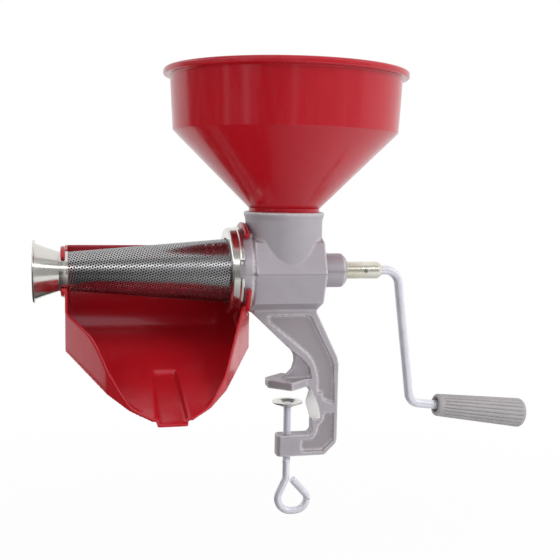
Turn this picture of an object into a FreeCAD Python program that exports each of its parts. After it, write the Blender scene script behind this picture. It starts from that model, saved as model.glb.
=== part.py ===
import FreeCAD, Part
import math
import os

import Sketcher
from FreeCAD import Placement, Rotation, Vector

# Driving dimensions in millimetres and degrees. A name that ends in _x is a place along the shaft
# from the hopper's axis, one that ends in _z a height from the shaft's axis, and one that ends in _y
# a place towards the back from the shaft's axis.
DIMENSIONS = {
    # Frame: the origin is under the clamp's jaw, on the clamp screw's axis
    "shaft_height": 118.5,
    "screw_x": 7.2,
    # Hopper: moulded bowl, cone and spigot
    "hopper_rim_radius": 120.0,
    "hopper_rim_z": 195.7,
    "hopper_lip_height": 7.0,
    "hopper_lip_edge": 2.0,
    "hopper_bowl_radius": 113.5,
    "hopper_crease_radius": 110.8,
    "hopper_crease_z": 137.2,
    "hopper_spigot_radius": 35.3,
    "hopper_cone_foot_z": 57.5,
    "hopper_spigot_foot_z": 40.0,
    "hopper_wall": 2.0,
    # Body casting: feed neck, eight-sided chamber, screen neck and rear boss
    "neck_radius": 38.5,
    "neck_lip_radius": 40.3,
    "neck_lip_z": 51.0,
    "neck_lip_edge_z": 56.6,
    "neck_rim_z": 59.2,
    "neck_edge": 1.2,
    "neck_bore": 35.6,
    "neck_seat_z": 57.2,
    "neck_seat_width": 2.1,
    "chamber_radius": 42.0,
    "chamber_left_x": -34.5,
    "chamber_right_x": 35.5,
    "chamber_bore": 34.6,
    "chamber_end_x": 29.0,
    "screen_neck_radius": 40.5,
    "screen_neck_left_x": -55.0,
    "relief_width": 2.6,
    "relief_radius": 37.4,
    "lug_x": -49.0,
    "lug_radius": 2.0,
    "lug_top": 42.2,
    "lug_count": 3.0,
    "lug_angle": 74.0,
    "boss_radius": 17.25,
    "boss_right_x": 64.3,
    "boss_edge": 4.0,
    "boss_bore": 11.0,
    # Bracket and clamp: one web with raised rims, a jaw on top and an arm below
    "bracket_width": 17.0,
    "bracket_panel_depth": 4.0,
    "bracket_root_z": -36.5,
    "jaw_thickness": 8.5,
    "jaw_tip_x": -15.0,
    "jaw_tip_width": 15.0,
    "jaw_corner_x": 6.0,
    "jaw_width": 52.0,
    "jaw_back_x": 25.0,
    "jaw_root": 9.0,
    "gusset_width": 6.0,
    "arm_top_z": -168.4,
    "arm_bottom_z": -190.5,
    "arm_reach": 11.5,
    "arm_edge": 3.0,
    "arm_end_length": 25.0,
    "screw_bore": 4.08,
    # Drive: shaft, bush, seal and washer in the rear boss
    "shaft_radius": 8.75,
    "shaft_right_x": 102.5,
    "shaft_edge": 3.5,
    "shaft_flange_radius": 14.0,
    "shaft_flange_width": 2.5,
    "shaft_socket_x": 70.0,
    "running_gap": 0.05,
    "drive_square": 12.0,
    "drive_square_x": 2.0,
    "washer_width": 1.0,
    "seal_width": 3.2,
    "seal_section": 1.0,
    # Crank: one bent rod, pinned into the shaft
    "rod_radius": 4.65,
    "rod_start_x": 72.0,
    "rod_top_x": 121.3,
    "rod_knee_x": 139.9,
    "rod_knee_z": -140.5,
    "rod_top_bend": 15.0,
    "rod_knee_bend": 13.0,
    "rod_end_gap": 2.7,
    "pin_x": 85.0,
    "pin_radius": 2.0,
    # Grip: a tapered moulding that turns on the rod
    "grip_tilt": 7.36,
    "grip_start": 29.3,
    "grip_length": 103.5,
    "grip_small_radius": 11.8,
    "grip_large_radius": 15.5,
    "grip_bore_gap": 0.1,
    "grip_edge": 2.5,
    "grip_pocket_radius": 10.0,
    "grip_pocket_depth": 9.0,
    "grip_cap_length": 7.0,
    "push_nut_radius": 7.5,
    "push_nut_width": 1.2,
    "push_nut_gap": 3.0,
    # Auger: a feed screw that tapers inside the screen
    "auger_core": 11.0,
    "auger_root": 9.5,
    "auger_feed_radius": 33.4,
    "auger_flight": 4.0,
    "auger_pitch": 32.0,
    "auger_gap": 0.8,
    "auger_end_x": -203.0,
    "auger_feed_x": -48.0,
    # Screen: rolled cone with a flange, and what holds it
    "cone_large_radius": 31.3,
    "cone_large_x": -60.9,
    "cone_small_radius": 18.9,
    "cone_small_x": -206.0,
    "cone_end_x": -212.0,
    "cone_wall": 0.6,
    "cone_flange_radius": 40.3,
    "gasket_width": 1.8,
    "collar_radius": 42.8,
    "collar_wall": 1.5,
    "collar_mouth": 32.4,
    "collar_front_x": -58.9,
    "collar_rear_x": -46.0,
    "collar_round": 2.5,
    "bead_radius": 43.7,
    "bead_width": 3.6,
    "slot_gap": 0.4,
    "slot_turn": 17.0,
    "band_wall": 0.5,
    "band_left_x": -218.0,
    "band_right_x": -208.0,
    # Waste spout: spun trumpet
    "spout_wall": 0.7,
    "spout_flare_radius": 25.5,
    "spout_flare_x": -240.0,
    "spout_rim_radius": 30.1,
    "spout_rim_x": -242.3,
    # Juice chute: one moulding that hooks over both necks
    "chute_left_x": -213.0,
    "chute_right_x": -36.5,
    "chute_middle_x": -124.0,
    "chute_crease_y": -90.0,
    "chute_crease_width": 106.6,
    "chute_corner_y": -117.0,
    "chute_corner_width": 70.0,
    "chute_lip_width": 36.0,
    "chute_left_rim_y": -128.0,
    "chute_right_rim_y": -108.0,
    "chute_rim_run": 72.0,
    "chute_rim_height": 38.0,
    "chute_spout_y": -137.5,
    "chute_spout_width": 27.0,
    "chute_spout_start_y": -56.0,
    "chute_spout_start_width": 22.4,
    "chute_spout_depth": 3.0,
    "chute_lip_y": -133.0,
    "chute_bend_y": -15.0,
    "chute_back_y": 48.5,
    "chute_back_z": 22.0,
    "chute_floor_back_z": -52.0,
    "chute_floor_lip_z": -112.0,
    "chute_back_round": 44.5,
    "chute_wall": 2.5,
    "hook_foot_y": -20.0,
    "hub_width": 4.6,
    "left_hub_wall": 4.5,
    "right_hub_wall": 4.5,
    "right_hub_x": -39.9,
    "hub_gap": 0.4,
    "left_mouth_low": -49.0,
    "left_mouth_high": 40.0,
    "right_mouth_low": -18.0,
    "right_mouth_high": 52.0,
    # Clamp screw: threaded rod with a bent loop, and its swivel pad
    "screw_radius": 4.0,
    "screw_wire_radius": 3.75,
    "screw_thread_end_z": -198.0,
    "screw_neck_radius": 3.0,
    "screw_head_radius": 5.0,
    "screw_head_tip": 3.5,
    "screw_head_height": 1.6,
    "pad_radius": 15.85,
    "pad_rim_z": -134.0,
    "pad_rim_width": 4.5,
    "pad_rim_depth": 1.4,
    "pad_floor": 2.4,
    "pad_height": 5.6,
}

# Outlines taken from the photo, corner by corner, in the same places and heights. The bracket, its
# panels and its ribs are seen from the front, and the chute's hooks from the side.
OUTLINES = {
    "bracket_front": [
        (-31.0, -42.6), (6.7, -78.4), (21.0, -90.0), (27.5, -98.0), (30.5, -110.0), (27.0, -118.5),
        (33.4, -129.0), (40.3, -143.0), (40.3, -152.0), (32.5, -152.2), (32.5, -164.5), (29.5, -168.4),
    ],
    "bracket_back": [
        (45.0, -190.5), (58.1, -178.0), (58.6, -172.0), (58.6, -95.0), (57.0, -88.0), (34.0, -41.0),
    ],
    "upper_panel": [
        (-16.5, -44.5), (-14.7, -51.5), (13.9, -74.7), (26.1, -84.9), (31.6, -92.8), (35.2, -102.2),
        (36.9, -112.0), (37.1, -129.5), (54.6, -136.9), (53.6, -97.5), (51.6, -91.0), (28.6, -46.3),
        (23.6, -44.5),
    ],
    "lower_panel": [
        (43.5, -147.5), (43.5, -153.5), (37.6, -160.3), (36.8, -166.5), (32.0, -173.6), (14.5, -173.9),
        (14.5, -186.0), (43.2, -186.0), (54.6, -175.5), (54.6, -146.3),
    ],
    "gusset": [
        (8.5, -79.0), (12.4, -86.3), (12.8, -92.0), (10.7, -100.1), (4.7, -106.4), (-2.0, -111.0),
        (32.0, -111.0), (30.0, -94.0), (20.0, -84.0),
    ],
    "rib_ridge": [
        (29.5, -122.0), (26.3, -133.0), (26.3, -137.6), (31.3, -154.0), (42.0, -154.0), (42.0, -122.0),
    ],
    "rib_edge": [
        (32.0, -126.0), (36.5, -135.0), (38.0, -139.0), (40.5, -152.0), (42.0, -152.0), (42.0, -126.0),
    ],
    "left_hook": [(12.0, 24.0), (-18.0, 11.0), (-18.0, -14.0), (-20.0, -34.0)],
    "right_hook": [(34.0, 30.0), (12.0, 43.4), (-30.0, 38.0), (-46.0, -10.0), (-46.0, -36.0)],
    "screw_loop": [(7.2, -211.0), (-9.0, -250.4), (29.8, -250.4), (29.8, -235.0), (15.4, -218.6)],
}
LOOP_BENDS = (9.0, 14.0, 13.0, 7.0)

SHEET = "Dims"
START = 1
END = 2
ORIGIN = -1
FULL_TURN = 360.0
DIAGONAL = math.sqrt(0.5)
ALONG_SHAFT = Rotation(Vector(0, 1, 0), 90)
CURVE_STEPS = 8
CHUTE_DEEP = -150.0
CHUTE_TALL = 230.0

doc = FreeCAD.newDocument("food_mill")
pieces = {}


class Size(float):
    """A number that remembers the spreadsheet rule it comes from."""

    def __new__(cls, value, rule):
        size = super().__new__(cls, value)
        size.rule = rule
        return size

    def __add__(self, other):
        return Size(float(self) + float(other), f"({self.rule} + {rule_of(other)})")

    def __radd__(self, other):
        return Size(float(other) + float(self), f"({rule_of(other)} + {self.rule})")

    def __sub__(self, other):
        return Size(float(self) - float(other), f"({self.rule} - {rule_of(other)})")

    def __rsub__(self, other):
        return Size(float(other) - float(self), f"({rule_of(other)} - {self.rule})")

    def __mul__(self, other):
        return Size(float(self) * float(other), f"({self.rule} * {rule_of(other)})")

    def __rmul__(self, other):
        return self * other

    def __truediv__(self, other):
        return Size(float(self) / float(other), f"({self.rule} / {rule_of(other)})")

    def __neg__(self):
        return Size(-float(self), f"(0 - {self.rule})")


class Sizes:
    """Every spreadsheet cell as a Size, by its alias."""

    def __init__(self, values):
        for alias, value in values.items():
            setattr(self, alias, Size(value, f"{SHEET}.{alias}"))

    def outline(self, name):
        count = len(OUTLINES[name])
        return [(getattr(self, f"{name}_{i}_u"), getattr(self, f"{name}_{i}_v")) for i in range(count)]


def rule_of(value):
    return value.rule if isinstance(value, Size) else f"({float(value)!r})"


def sheet_values():
    """Every driving dimension, and both numbers of every corner of the outlines."""
    values = dict(DIMENSIONS)
    for name, points in OUTLINES.items():
        for i, (u, v) in enumerate(points):
            values[f"{name}_{i}_u"] = u
            values[f"{name}_{i}_v"] = v
    return values


def make_sheet():
    sheet = doc.addObject("Spreadsheet::Sheet", SHEET)
    for row, (alias, value) in enumerate(sheet_values().items(), start=1):
        sheet.set(f"A{row}", alias.replace("_", " "))
        sheet.set(f"B{row}", str(value))
        sheet.setAlias(f"B{row}", alias)
    doc.recompute()


def bind(thing, name, value):
    setattr(thing, name, float(value))
    if isinstance(value, Size):
        thing.setExpression(name, value.rule)


def place(thing, x=0.0, y=0.0, z=0.0, turn=None):
    thing.Placement = Placement(Vector(float(x), float(y), float(z)), turn or Rotation())
    for name, value in (("x", x), ("y", y), ("z", z)):
        if isinstance(value, Size):
            thing.setExpression(f"Placement.Base.{name}", value.rule)


def keep(label, thing, x=0.0, y=0.0, z=0.0, turn=None):
    """Name a finished piece and set it at x, y and z from where the shaft meets the hopper's axis."""
    thing.Label = label
    place(thing, x - size.screw_x, y, z + size.shaft_height, turn)
    pieces[label] = thing


# Sketches and features


def new_body(name):
    return doc.addObject("PartDesign::Body", name)


def origin_part(body, role):
    return next(part for part in body.Origin.OriginFeatures if part.Role == role)


def new_sketch(body, role, offset=0.0):
    """A sketch on one of the body's origin planes, moved along that plane's normal."""
    sketch = body.newObject("Sketcher::SketchObject", "profile")
    sketch.AttachmentSupport = [(origin_part(body, role), "")]
    sketch.MapMode = "FlatFace"
    sketch.AttachmentOffset = Placement(Vector(0, 0, float(offset)), Rotation())
    if isinstance(offset, Size):
        sketch.setExpression("AttachmentOffset.Base.z", offset.rule)
    return sketch


def lean(sketch, angle):
    """Turn a sketch about the shaft's axis."""
    sketch.AttachmentOffset = Placement(Vector(), Rotation(Vector(1, 0, 0), float(angle)))
    sketch.setExpression("AttachmentOffset.Rotation.Angle", angle.rule)


def tie(sketch, rows):
    """Add constraints, each a tuple of its arguments and a value, and bind the values to their rules."""
    first = len(sketch.Constraints)
    sketch.addConstraint([Sketcher.Constraint(*row[:-1], float(row[-1])) for row in rows])
    for index, row in enumerate(rows, start=first):
        if isinstance(row[-1], Size):
            sketch.setExpression(f"Constraints[{index}]", row[-1].rule)


def draw_outline(sketch, points):
    """A closed outline of straight edges, with every corner tied to its sizes."""
    count = len(points)
    corners = [Vector(float(u), float(v), 0) for u, v in points]
    edges = [Part.LineSegment(corners[i], corners[(i + 1) % count]) for i in range(count)]
    first = sketch.addGeometry(edges, False)[0]
    joins = []
    for i in range(count):
        joins.append(Sketcher.Constraint("Coincident", first + i, END, first + (i + 1) % count, START))
    sketch.addConstraint(joins)
    rows = []
    for i, (u, v) in enumerate(points, start=first):
        rows.append(("DistanceX", ORIGIN, START, i, START, u))
        rows.append(("DistanceY", ORIGIN, START, i, START, v))
    tie(sketch, rows)


def draw_circle(sketch, u, v, radius):
    centre = Vector(float(u), float(v), 0)
    ring = sketch.addGeometry(Part.Circle(centre, Vector(0, 0, 1), float(radius)), False)
    middle = 3
    tie(sketch, [
        ("DistanceX", ORIGIN, START, ring, middle, u),
        ("DistanceY", ORIGIN, START, ring, middle, v),
        ("Radius", ring, radius),
    ])


def feature(body, kind, sketch):
    made = body.newObject(f"PartDesign::{kind}", kind.lower())
    made.Profile = sketch
    body.Tip = made
    return made


def pad(body, sketch, length, symmetric=False):
    made = feature(body, "Pad", sketch)
    made.SideType = "Symmetric" if symmetric else "One side"
    bind(made, "Length", length)
    return made


def pocket(body, sketch, length, reverse=False, symmetric=False):
    made = feature(body, "Pocket", sketch)
    made.SideType = "Symmetric" if symmetric else "One side"
    made.Reversed = reverse
    bind(made, "Length", length)
    return made


def turn_profile(body, kind, points, axis, angle=FULL_TURN):
    """Turn an outline about the sketch's own axis: H_Axis is the shaft, V_Axis the hopper's axis."""
    sketch = new_sketch(body, "XZ_Plane")
    draw_outline(sketch, points)
    made = feature(body, kind, sketch)
    made.ReferenceAxis = (sketch, [axis])
    bind(made, "Angle", angle)
    return made


def around_shaft(body, name, features, count):
    """Repeat features evenly about the shaft's axis."""
    pattern = body.newObject("PartDesign::PolarPattern", name)
    pattern.Originals = features
    pattern.Axis = (origin_part(body, "X_Axis"), [""])
    pattern.Angle = FULL_TURN
    pattern.setExpression("Occurrences", count.rule)
    body.Tip = pattern


def turned(name, points, axis="H_Axis"):
    body = new_body(name)
    turn_profile(body, "Revolution", points, axis)
    return body


def box_outline(left, right, low, high):
    return [(left, low), (right, low), (right, high), (left, high)]


def slab(name, role, points, start, length):
    """A prism: an outline on an origin plane, from start along the plane's normal for length."""
    body = new_body(name)
    sketch = new_sketch(body, role, start)
    draw_outline(sketch, points)
    pad(body, sketch, length)
    return body


def rod_between(name, radius, x, length):
    """A round bar along the shaft's direction, from x for length."""
    bar = doc.addObject("Part::Cylinder", name)
    bind(bar, "Radius", radius)
    bind(bar, "Height", length)
    place(bar, x, turn=ALONG_SHAFT)
    return bar


def cut(name, base, tools):
    made = doc.addObject("Part::Cut", name)
    made.Base = base
    made.Tool = tools[0] if len(tools) == 1 else fuse(f"{name}_tools", tools)
    return made


def fuse(name, parts):
    made = doc.addObject("Part::MultiFuse", name)
    made.Shapes = parts
    made.Refine = True
    return made


def common(name, parts):
    made = doc.addObject("Part::MultiCommon", name)
    made.Shapes = parts
    return made


def rounded_path(points, bends):
    """Straight runs joined by tangent arcs, one bend radius for each inner point."""
    edges = []
    last = points[0]
    for before, corner, after, bend in zip(points, points[1:], points[2:], bends):
        inward = (before - corner).normalize()
        outward = (after - corner).normalize()
        half = inward.getAngle(outward) / 2
        reach = bend / math.tan(half)
        middle = (inward + outward).normalize()
        top = corner + middle * (bend / math.sin(half) - bend)
        start = corner + inward * reach
        end = corner + outward * reach
        edges.append(Part.LineSegment(last, start).toShape())
        edges.append(Part.Arc(start, top, end).toShape())
        last = end
    edges.append(Part.LineSegment(last, points[-1]).toShape())
    return Part.Wire(edges)


def bent_wire(path, radius):
    """A round wire swept along a path."""
    start = path.Edges[0].firstVertex().Point
    along = path.Edges[0].tangentAt(path.Edges[0].FirstParameter)
    section = Part.Wire(Part.makeCircle(float(radius), start, along))
    return path.makePipeShell([section], True, False)


# Hopper and body


def make_hopper():
    d = size
    inner = d.hopper_spigot_radius - d.hopper_wall
    lip_low = d.hopper_rim_z - d.hopper_lip_height
    body = turned("hopper_turned", [
        (inner, d.hopper_spigot_foot_z),
        (inner, d.hopper_cone_foot_z + 0.4 * d.hopper_wall),
        (d.hopper_crease_radius - d.hopper_wall, d.hopper_crease_z + 0.4 * d.hopper_wall),
        (d.hopper_bowl_radius - d.hopper_wall, lip_low),
        (d.hopper_bowl_radius, d.hopper_rim_z),
        (d.hopper_rim_radius - d.hopper_lip_edge, d.hopper_rim_z),
        (d.hopper_rim_radius, d.hopper_rim_z - d.hopper_lip_edge),
        (d.hopper_rim_radius, lip_low + d.hopper_lip_edge),
        (d.hopper_rim_radius - d.hopper_lip_edge / 2, lip_low),
        (d.hopper_bowl_radius, lip_low),
        (d.hopper_crease_radius, d.hopper_crease_z),
        (d.hopper_spigot_radius, d.hopper_cone_foot_z),
        (d.hopper_spigot_radius, d.hopper_spigot_foot_z),
    ], "V_Axis")
    keep("hopper", body)


def add_chamber(body):
    d = size
    corner = d.chamber_radius * DIAGONAL
    ring = [
        (d.chamber_radius, 0.0), (corner, corner), (0.0, d.chamber_radius), (-corner, corner),
        (-d.chamber_radius, 0.0), (-corner, -corner), (0.0, -d.chamber_radius), (corner, -corner),
    ]
    sketch = new_sketch(body, "YZ_Plane", d.chamber_left_x)
    draw_outline(sketch, ring)
    pad(body, sketch, d.chamber_right_x - d.chamber_left_x)
    turn_profile(body, "Revolution",
                 box_outline(d.screen_neck_left_x, d.chamber_left_x, 0.0, d.screen_neck_radius), "H_Axis")
    relief_left = d.chamber_left_x - d.relief_width
    turn_profile(body, "Groove",
                 box_outline(relief_left, d.chamber_left_x, d.relief_radius, d.chamber_radius), "H_Axis")
    turn_profile(body, "Revolution", [
        (0.0, 0.0),
        (d.neck_radius, 0.0),
        (d.neck_radius, d.neck_lip_z),
        (d.neck_lip_radius, d.neck_lip_edge_z),
        (d.neck_lip_radius, d.neck_rim_z - d.neck_edge),
        (d.neck_lip_radius - d.neck_edge, d.neck_rim_z),
        (0.0, d.neck_rim_z),
    ], "V_Axis")
    turn_profile(body, "Revolution", [
        (0.0, 0.0),
        (0.0, d.boss_radius),
        (d.boss_right_x - d.boss_edge, d.boss_radius),
        (d.boss_right_x, d.boss_radius - d.boss_edge),
        (d.boss_right_x, 0.0),
    ], "H_Axis")


def bracket_outline():
    """The bracket from the front: down its front edge to the arm, and up its back to the chamber."""
    d = size
    front = d.outline("bracket_front")
    back = d.outline("bracket_back")
    arm = [(d.screw_x, d.arm_top_z), (d.screw_x, d.arm_bottom_z)]
    return [(front[0][0], d.bracket_root_z)] + front + arm + back + [(back[-1][0], d.bracket_root_z)]


def add_bracket(body):
    d = size
    sketch = new_sketch(body, "XZ_Plane")
    draw_outline(sketch, bracket_outline())
    pad(body, sketch, d.bracket_width, symmetric=True)
    side = d.bracket_width / 2
    for panel in ("upper_panel", "lower_panel"):
        for face, reverse in ((side, False), (-side, True)):
            sketch = new_sketch(body, "XZ_Plane", face)
            draw_outline(sketch, d.outline(panel))
            pocket(body, sketch, d.bracket_panel_depth, reverse)


def add_clamp(body):
    """The jaw with its gusset, the pointed throat rib, and the arm's end with the screw hole."""
    d = size
    seat = -d.shaft_height
    back = d.jaw_back_x
    sketch = new_sketch(body, "XY_Plane", seat)
    draw_outline(sketch, [
        (d.jaw_tip_x, -d.jaw_tip_width / 2),
        (d.jaw_corner_x, -d.jaw_width / 2),
        (back, -d.bracket_width / 2),
        (back + d.jaw_root, -d.bracket_width / 2),
        (back + d.jaw_root, d.bracket_width / 2),
        (back, d.bracket_width / 2),
        (d.jaw_corner_x, d.jaw_width / 2),
        (d.jaw_tip_x, d.jaw_tip_width / 2),
    ])
    pad(body, sketch, d.jaw_thickness)
    sketch = new_sketch(body, "XZ_Plane")
    draw_outline(sketch, d.outline("gusset"))
    pad(body, sketch, d.gusset_width, symmetric=True)
    add_throat_rib(body)
    sketch = new_sketch(body, "XY_Plane", d.arm_bottom_z)
    end = d.screw_x - d.arm_reach
    half = d.bracket_width / 2
    draw_outline(sketch, [
        (end, d.arm_edge - half),
        (end + d.arm_edge, -half),
        (end + d.arm_end_length, -half),
        (end + d.arm_end_length, half),
        (end + d.arm_edge, half),
        (end, half - d.arm_edge),
    ])
    pad(body, sketch, d.arm_top_z - d.arm_bottom_z)
    sketch = new_sketch(body, "XY_Plane", d.arm_bottom_z)
    draw_circle(sketch, d.screw_x, 0.0, d.screw_bore)
    pocket(body, sketch, d.arm_top_z - d.arm_bottom_z, reverse=True)


def add_throat_rib(body):
    """A rib inside the clamp's throat, lofted from a ridge at mid-plane out to both side faces."""
    d = size
    side = d.bracket_width / 2
    sections = []
    for offset, outline in ((-side, "rib_edge"), (0.0, "rib_ridge"), (side, "rib_edge")):
        sketch = new_sketch(body, "XZ_Plane", offset)
        draw_outline(sketch, d.outline(outline))
        sections.append(sketch)
    loft = feature(body, "AdditiveLoft", sections[0])
    loft.Sections = sections[1:]
    loft.Ruled = True


def add_bores(body):
    d = size
    past = 2.0
    turn_profile(body, "Groove", [
        (0.0, 0.0),
        (d.neck_bore, 0.0),
        (d.neck_bore, d.neck_seat_z),
        (d.neck_bore + d.neck_seat_width, d.neck_rim_z),
        (d.neck_bore + d.neck_seat_width, d.neck_rim_z + past),
        (0.0, d.neck_rim_z + past),
    ], "V_Axis")
    left = d.screen_neck_left_x - past
    turn_profile(body, "Groove", box_outline(left, d.chamber_end_x, 0.0, d.chamber_bore), "H_Axis")
    right = d.boss_right_x + past
    turn_profile(body, "Groove", box_outline(0.0, right, 0.0, d.boss_bore), "H_Axis")


def add_lugs(body):
    """Round lugs on the screen neck for the collar's slots, each at the closed end of its slot."""
    d = size
    sketch = new_sketch(body, "XY_Plane")
    draw_circle(sketch, d.lug_x, 0.0, d.lug_radius)
    lean(sketch, d.lug_angle)
    around_shaft(body, "lugs", [pad(body, sketch, d.lug_top)], d.lug_count)


def make_body_casting():
    body = new_body("casting")
    add_chamber(body)
    add_lugs(body)
    add_bracket(body)
    add_clamp(body)
    add_bores(body)
    keep("body_casting", body)


# Drive line


def make_shaft_bearing():
    d = size
    inner = d.shaft_radius + d.running_gap
    bush_left = d.chamber_end_x + d.seal_width
    keep("shaft_bush", turned("bush", box_outline(bush_left, d.boss_right_x, inner, d.boss_bore)))
    washer_left = d.chamber_end_x - d.washer_width
    keep("thrust_washer", turned("washer", box_outline(
        washer_left, d.chamber_end_x, inner, d.shaft_flange_radius)))
    seal = doc.addObject("Part::Torus", "seal")
    bind(seal, "Radius1", d.boss_bore - d.seal_section)
    bind(seal, "Radius2", d.seal_section)
    middle = d.chamber_end_x + d.seal_width / 2
    keep("shaft_seal", seal, x=middle, turn=ALONG_SHAFT)


def make_drive_shaft():
    d = size
    flange_right = d.chamber_end_x - d.washer_width - d.running_gap
    flange_left = flange_right - d.shaft_flange_width
    body = turned("shaft_turned", [
        (flange_left, 0.0),
        (flange_left, d.shaft_flange_radius),
        (flange_right, d.shaft_flange_radius),
        (flange_right, d.shaft_radius),
        (d.shaft_right_x - d.shaft_edge, d.shaft_radius),
        (d.shaft_right_x, d.shaft_radius - d.shaft_edge / 2),
        (d.shaft_right_x, d.rod_radius),
        (d.shaft_socket_x, d.rod_radius),
        (d.shaft_socket_x, 0.0),
    ])
    half = d.drive_square / 2
    sketch = new_sketch(body, "YZ_Plane", d.drive_square_x)
    draw_outline(sketch, box_outline(-half, half, -half, half))
    pad(body, sketch, flange_left - d.drive_square_x)
    sketch = new_sketch(body, "XZ_Plane")
    draw_circle(sketch, d.pin_x, 0.0, d.pin_radius)
    pocket(body, sketch, 4 * d.shaft_radius, symmetric=True)
    keep("drive_shaft", body)


def make_crank_pin():
    d = size
    pin = doc.addObject("Part::Cylinder", "pin")
    bind(pin, "Radius", d.pin_radius)
    bind(pin, "Height", 2 * d.shaft_radius)
    keep("crank_pin", pin, x=d.pin_x, y=d.shaft_radius, turn=Rotation(Vector(1, 0, 0), 90))


def grip_point(distance):
    """Place along and height of a point on the grip's axis, this far past the rod's knee."""
    tilt = math.radians(size.grip_tilt)
    return size.rod_knee_x + distance * math.cos(tilt), size.rod_knee_z - distance * math.sin(tilt)


def make_crank_rod():
    d = size
    end_x, end_z = grip_point(d.grip_start + d.grip_length - d.grip_cap_length - d.rod_end_gap)
    path = rounded_path([
        Vector(d.rod_start_x, 0, 0),
        Vector(d.rod_top_x, 0, 0),
        Vector(d.rod_knee_x, 0, d.rod_knee_z),
        Vector(end_x, 0, end_z),
    ], [d.rod_top_bend, d.rod_knee_bend])
    rod = bent_wire(path, d.rod_radius)
    across = Vector(0, 1, 0)
    hole = Part.makeCylinder(d.pin_radius, 4 * d.rod_radius, Vector(d.pin_x, -2 * d.rod_radius, 0), across)
    made = doc.addObject("Part::Feature", "rod")
    made.Shape = rod.cut(hole)
    keep("crank_rod", made)


def make_grip():
    """The grip, its cap and the push nut on the rod, turned along X and tilted onto the rod."""
    d = size
    bore = d.rod_radius + d.grip_bore_gap
    shell_end = d.grip_length - d.grip_cap_length
    cap_radius = d.grip_large_radius
    grip = turned("grip_turned", [
        (0.0, bore),
        (0.0, d.grip_small_radius - d.grip_edge),
        (d.grip_edge, d.grip_small_radius),
        (shell_end, cap_radius),
        (shell_end, d.grip_pocket_radius),
        (shell_end - d.grip_pocket_depth, d.grip_pocket_radius),
        (shell_end - d.grip_pocket_depth, bore),
    ])
    cap = turned("cap_turned", [
        (shell_end, 0.0),
        (shell_end, cap_radius),
        (shell_end + d.grip_cap_length * 0.4, cap_radius - 0.6),
        (shell_end + d.grip_cap_length * 0.8, cap_radius * 0.75),
        (d.grip_length, cap_radius * 0.4),
        (d.grip_length, 0.0),
    ])
    nut_left = shell_end - d.grip_pocket_depth + d.push_nut_gap
    nut = turned("nut_turned", box_outline(
        nut_left, nut_left + d.push_nut_width, d.rod_radius, d.push_nut_radius))
    tilt = Rotation(Vector(0, 1, 0), float(d.grip_tilt))
    start_x, start_z = grip_point(d.grip_start)
    for label, body in (("crank_grip", grip), ("grip_cap", cap), ("grip_push_nut", nut)):
        keep(label, body, x=start_x, z=start_z, turn=tilt)


def cone_radius(x):
    """The screen's outer radius at a place along the shaft."""
    d = size
    slope = (d.cone_large_radius - d.cone_small_radius) / (d.cone_large_x - d.cone_small_x)
    return d.cone_small_radius + slope * (x - d.cone_small_x)


def auger_flight(low, high, low_radius, high_radius):
    """One helical flight up the Z axis, whose outer radius changes evenly from end to end."""
    d = size
    climb = high - low
    spine = Part.Wire(Part.makeHelix(d.auger_pitch, climb, d.auger_core).Edges)
    ends = []
    for height, radius in ((0.0, low_radius), (climb, high_radius)):
        turn = 2 * math.pi * height / d.auger_pitch
        outward = Vector(math.cos(turn), math.sin(turn), 0)
        foot = outward * d.auger_root
        tip = outward * radius
        down = Vector(0, 0, height - d.auger_flight / 2)
        up = Vector(0, 0, height + d.auger_flight / 2)
        ends.append(Part.makePolygon([foot + down, tip + down, tip + up, foot + up, foot + down]))
    flight = spine.makePipeShell(ends, True, True)
    flight.translate(Vector(0, 0, low))
    return flight


def make_auger():
    """A square-socketed core with a feed flight in the chamber and a tapered one in the screen."""
    d = size
    rear = d.chamber_end_x - d.washer_width - d.shaft_flange_width - 4 * d.running_gap
    length = rear - d.auger_end_x
    inside = d.cone_wall + d.auger_gap
    edge = d.auger_flight / 2
    screen_end = d.cone_large_x - d.auger_end_x
    feed_start = d.auger_feed_x - d.auger_end_x
    core = Part.makeCylinder(d.auger_core, length)
    small = cone_radius(d.auger_end_x) - inside
    large = cone_radius(d.cone_large_x) - inside
    flights = [
        auger_flight(edge, screen_end, small, large),
        auger_flight(feed_start, length - edge, d.auger_feed_radius, d.auger_feed_radius),
    ]
    width = d.drive_square + 2 * d.running_gap
    depth = rear - d.drive_square_x + 1.0
    socket = Part.makeBox(width, width, depth, Vector(-width / 2, -width / 2, length - depth))
    made = doc.addObject("Part::Feature", "auger_cut")
    made.Shape = core.fuse(flights).cut(socket)
    keep("auger", made, x=d.auger_end_x, turn=ALONG_SHAFT)


# Screen, collar and spout


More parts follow.
